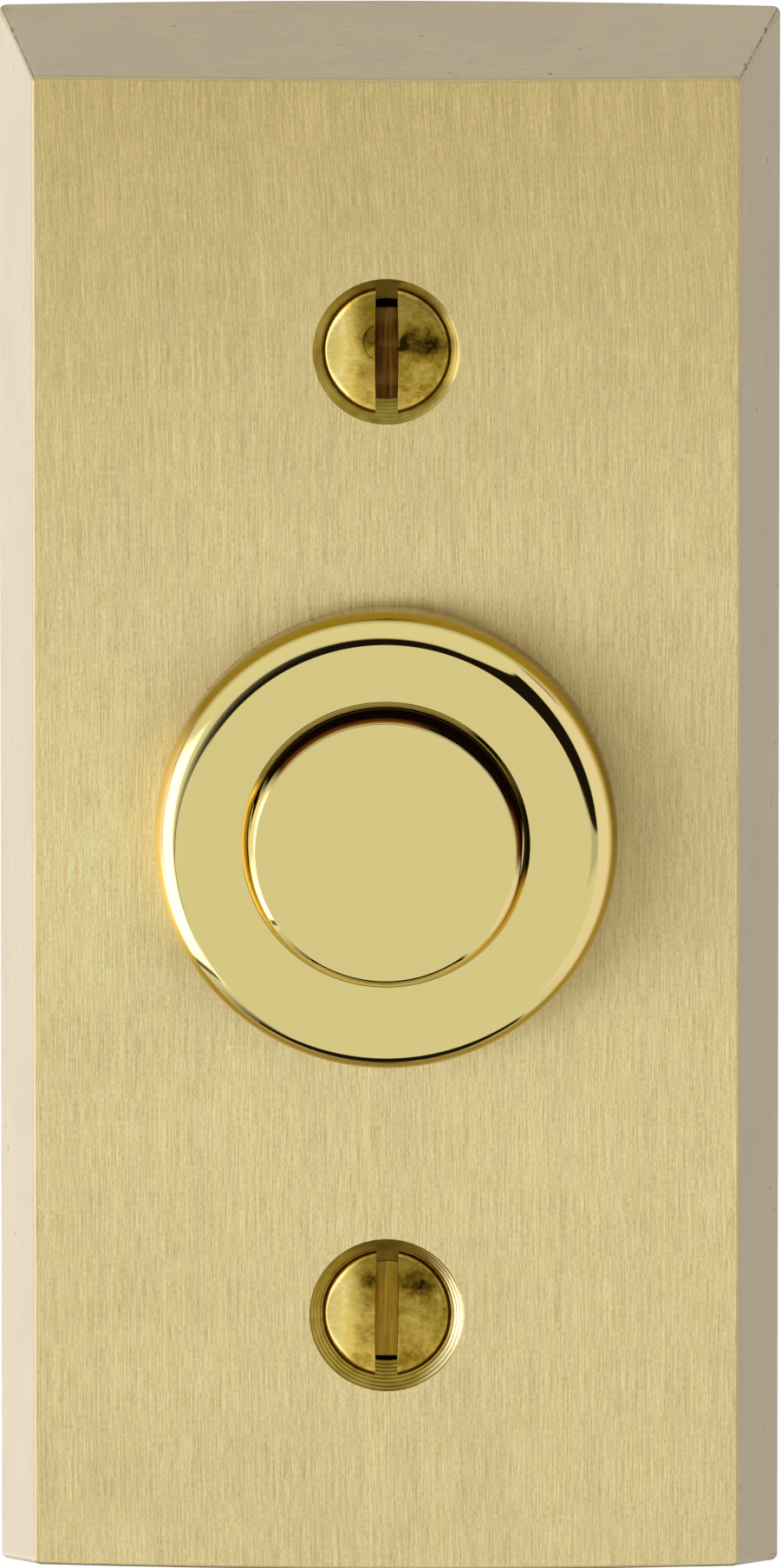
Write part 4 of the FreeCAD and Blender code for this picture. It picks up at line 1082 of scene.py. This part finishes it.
def pale_floor():
    """A round floor under the plate's bottom edge that shows the shadow and nothing else."""
    mesh = bmesh.new()
    bmesh.ops.create_circle(mesh, cap_ends=True, segments=96, radius=0.6)
    bmesh.ops.translate(mesh, verts=mesh.verts, vec=(0, 0, CASE_LOW.z - 0.02 * MM))
    floor = finished("floor", mesh)
    material = bpy.data.materials.new("pale_floor")
    material.use_nodes = True
    graph = Graph(material.node_tree)
    matt = graph.node("ShaderNodeBsdfDiffuse")
    graph.feed(matt.inputs["Color"], (0.92, 0.92, 0.92, 1.0))
    glow = graph.node("ShaderNodeEmission")
    graph.feed(glow.inputs["Color"], (1.0, 1.0, 1.0, 1.0))
    clear = graph.node("ShaderNodeBsdfTransparent")
    lit = graph.node("ShaderNodeMixShader")
    for socket, source in zip(lit.inputs, (0.75, matt.outputs[0], glow.outputs[0])):
        graph.feed(socket, source)
    below = graph.node("ShaderNodeMixShader")
    backfacing = graph.node("ShaderNodeNewGeometry").outputs["Backfacing"]
    for socket, source in zip(below.inputs, (backfacing, lit.outputs[0], clear.outputs[0])):
        graph.feed(socket, source)
    output = graph.node("ShaderNodeOutputMaterial")
    graph.feed(output.inputs["Surface"], below.outputs[0])
    floor.data.materials.append(material)
    floor.visible_glossy = False
    floor.visible_diffuse = False


def photo_camera():
    """The photograph's view: from a little above and to the right, through a long lens."""
    data = bpy.data.cameras.new("photo_camera")
    camera = bpy.data.objects.new("photo_camera", data)
    bpy.context.scene.collection.objects.link(camera)
    back = Vector(
        (
            math.sin(CAMERA_AZIMUTH) * math.cos(CAMERA_ELEVATION),
            -math.cos(CAMERA_AZIMUTH) * math.cos(CAMERA_ELEVATION),
            math.sin(CAMERA_ELEVATION),
        )
    )
    turn = back.to_track_quat("Z", "Y")
    right = turn @ Vector((1, 0, 0))
    up = turn @ Vector((0, 1, 0))
    aim = Vector((0, -FACE_HEIGHT, 0))
    aim += right * (PHOTO_MIDDLE[0] - AXIS_PIXEL[0]) * PIXEL
    aim += up * (AXIS_PIXEL[1] - PHOTO_MIDDLE[1]) * PIXEL
    camera.rotation_mode = "QUATERNION"
    camera.rotation_quaternion = turn
    camera.location = aim + back * CAMERA_DISTANCE
    data.sensor_width = SENSOR
    data.lens = SENSOR * CAMERA_DISTANCE / (PHOTO_HEIGHT * PIXEL)
    data.clip_start = 0.05
    data.clip_end = 50.0
    bpy.context.scene.camera = camera


mirror = mirror_brass()
ring_piece(mirror)
button_piece(mirror)
for screw_name, screw_side, screw_turn in SCREWS:
    wood_screw(screw_name, screw_side, screw_turn, screw_brass(screw_name, screw_side))
coil_spring(spring_steel())

case_finish = brushed_case()
nut_finish = machined_brass("machined_brass", (0.80, 0.66, 0.28), 0.28)
contact_finish = machined_brass("contact_brass_satin", (0.78, 0.62, 0.25), 0.36)
small_screw_finish = machined_brass("small_screw_brass", (0.76, 0.61, 0.25), 0.32)
insulator_finish = moulded_insulator()
FINISHES = {
    "case": case_finish,
    "bezel_washer": nut_finish,
    "bezel_nut": nut_finish,
    "contact_base": insulator_finish,
    "contact_carrier": insulator_finish,
    "bridge_disc": contact_finish,
    "contact_strip_left": contact_finish,
    "contact_strip_right": contact_finish,
    "contact_rivet_left": contact_finish,
    "contact_rivet_right": contact_finish,
    "terminal_washer_left": nut_finish,
    "terminal_washer_right": nut_finish,
    "terminal_screw_left": small_screw_finish,
    "terminal_screw_right": small_screw_finish,
    "base_screw_upper": small_screw_finish,
    "base_screw_lower": small_screw_finish,
    "carrier_screw": small_screw_finish,
}
for node_name, finish in FINISHES.items():
    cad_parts[node_name].material_slots[0].material = finish

studio_world()
pale_floor()
photo_camera()
bpy.context.scene.view_settings.view_transform = "Standard"
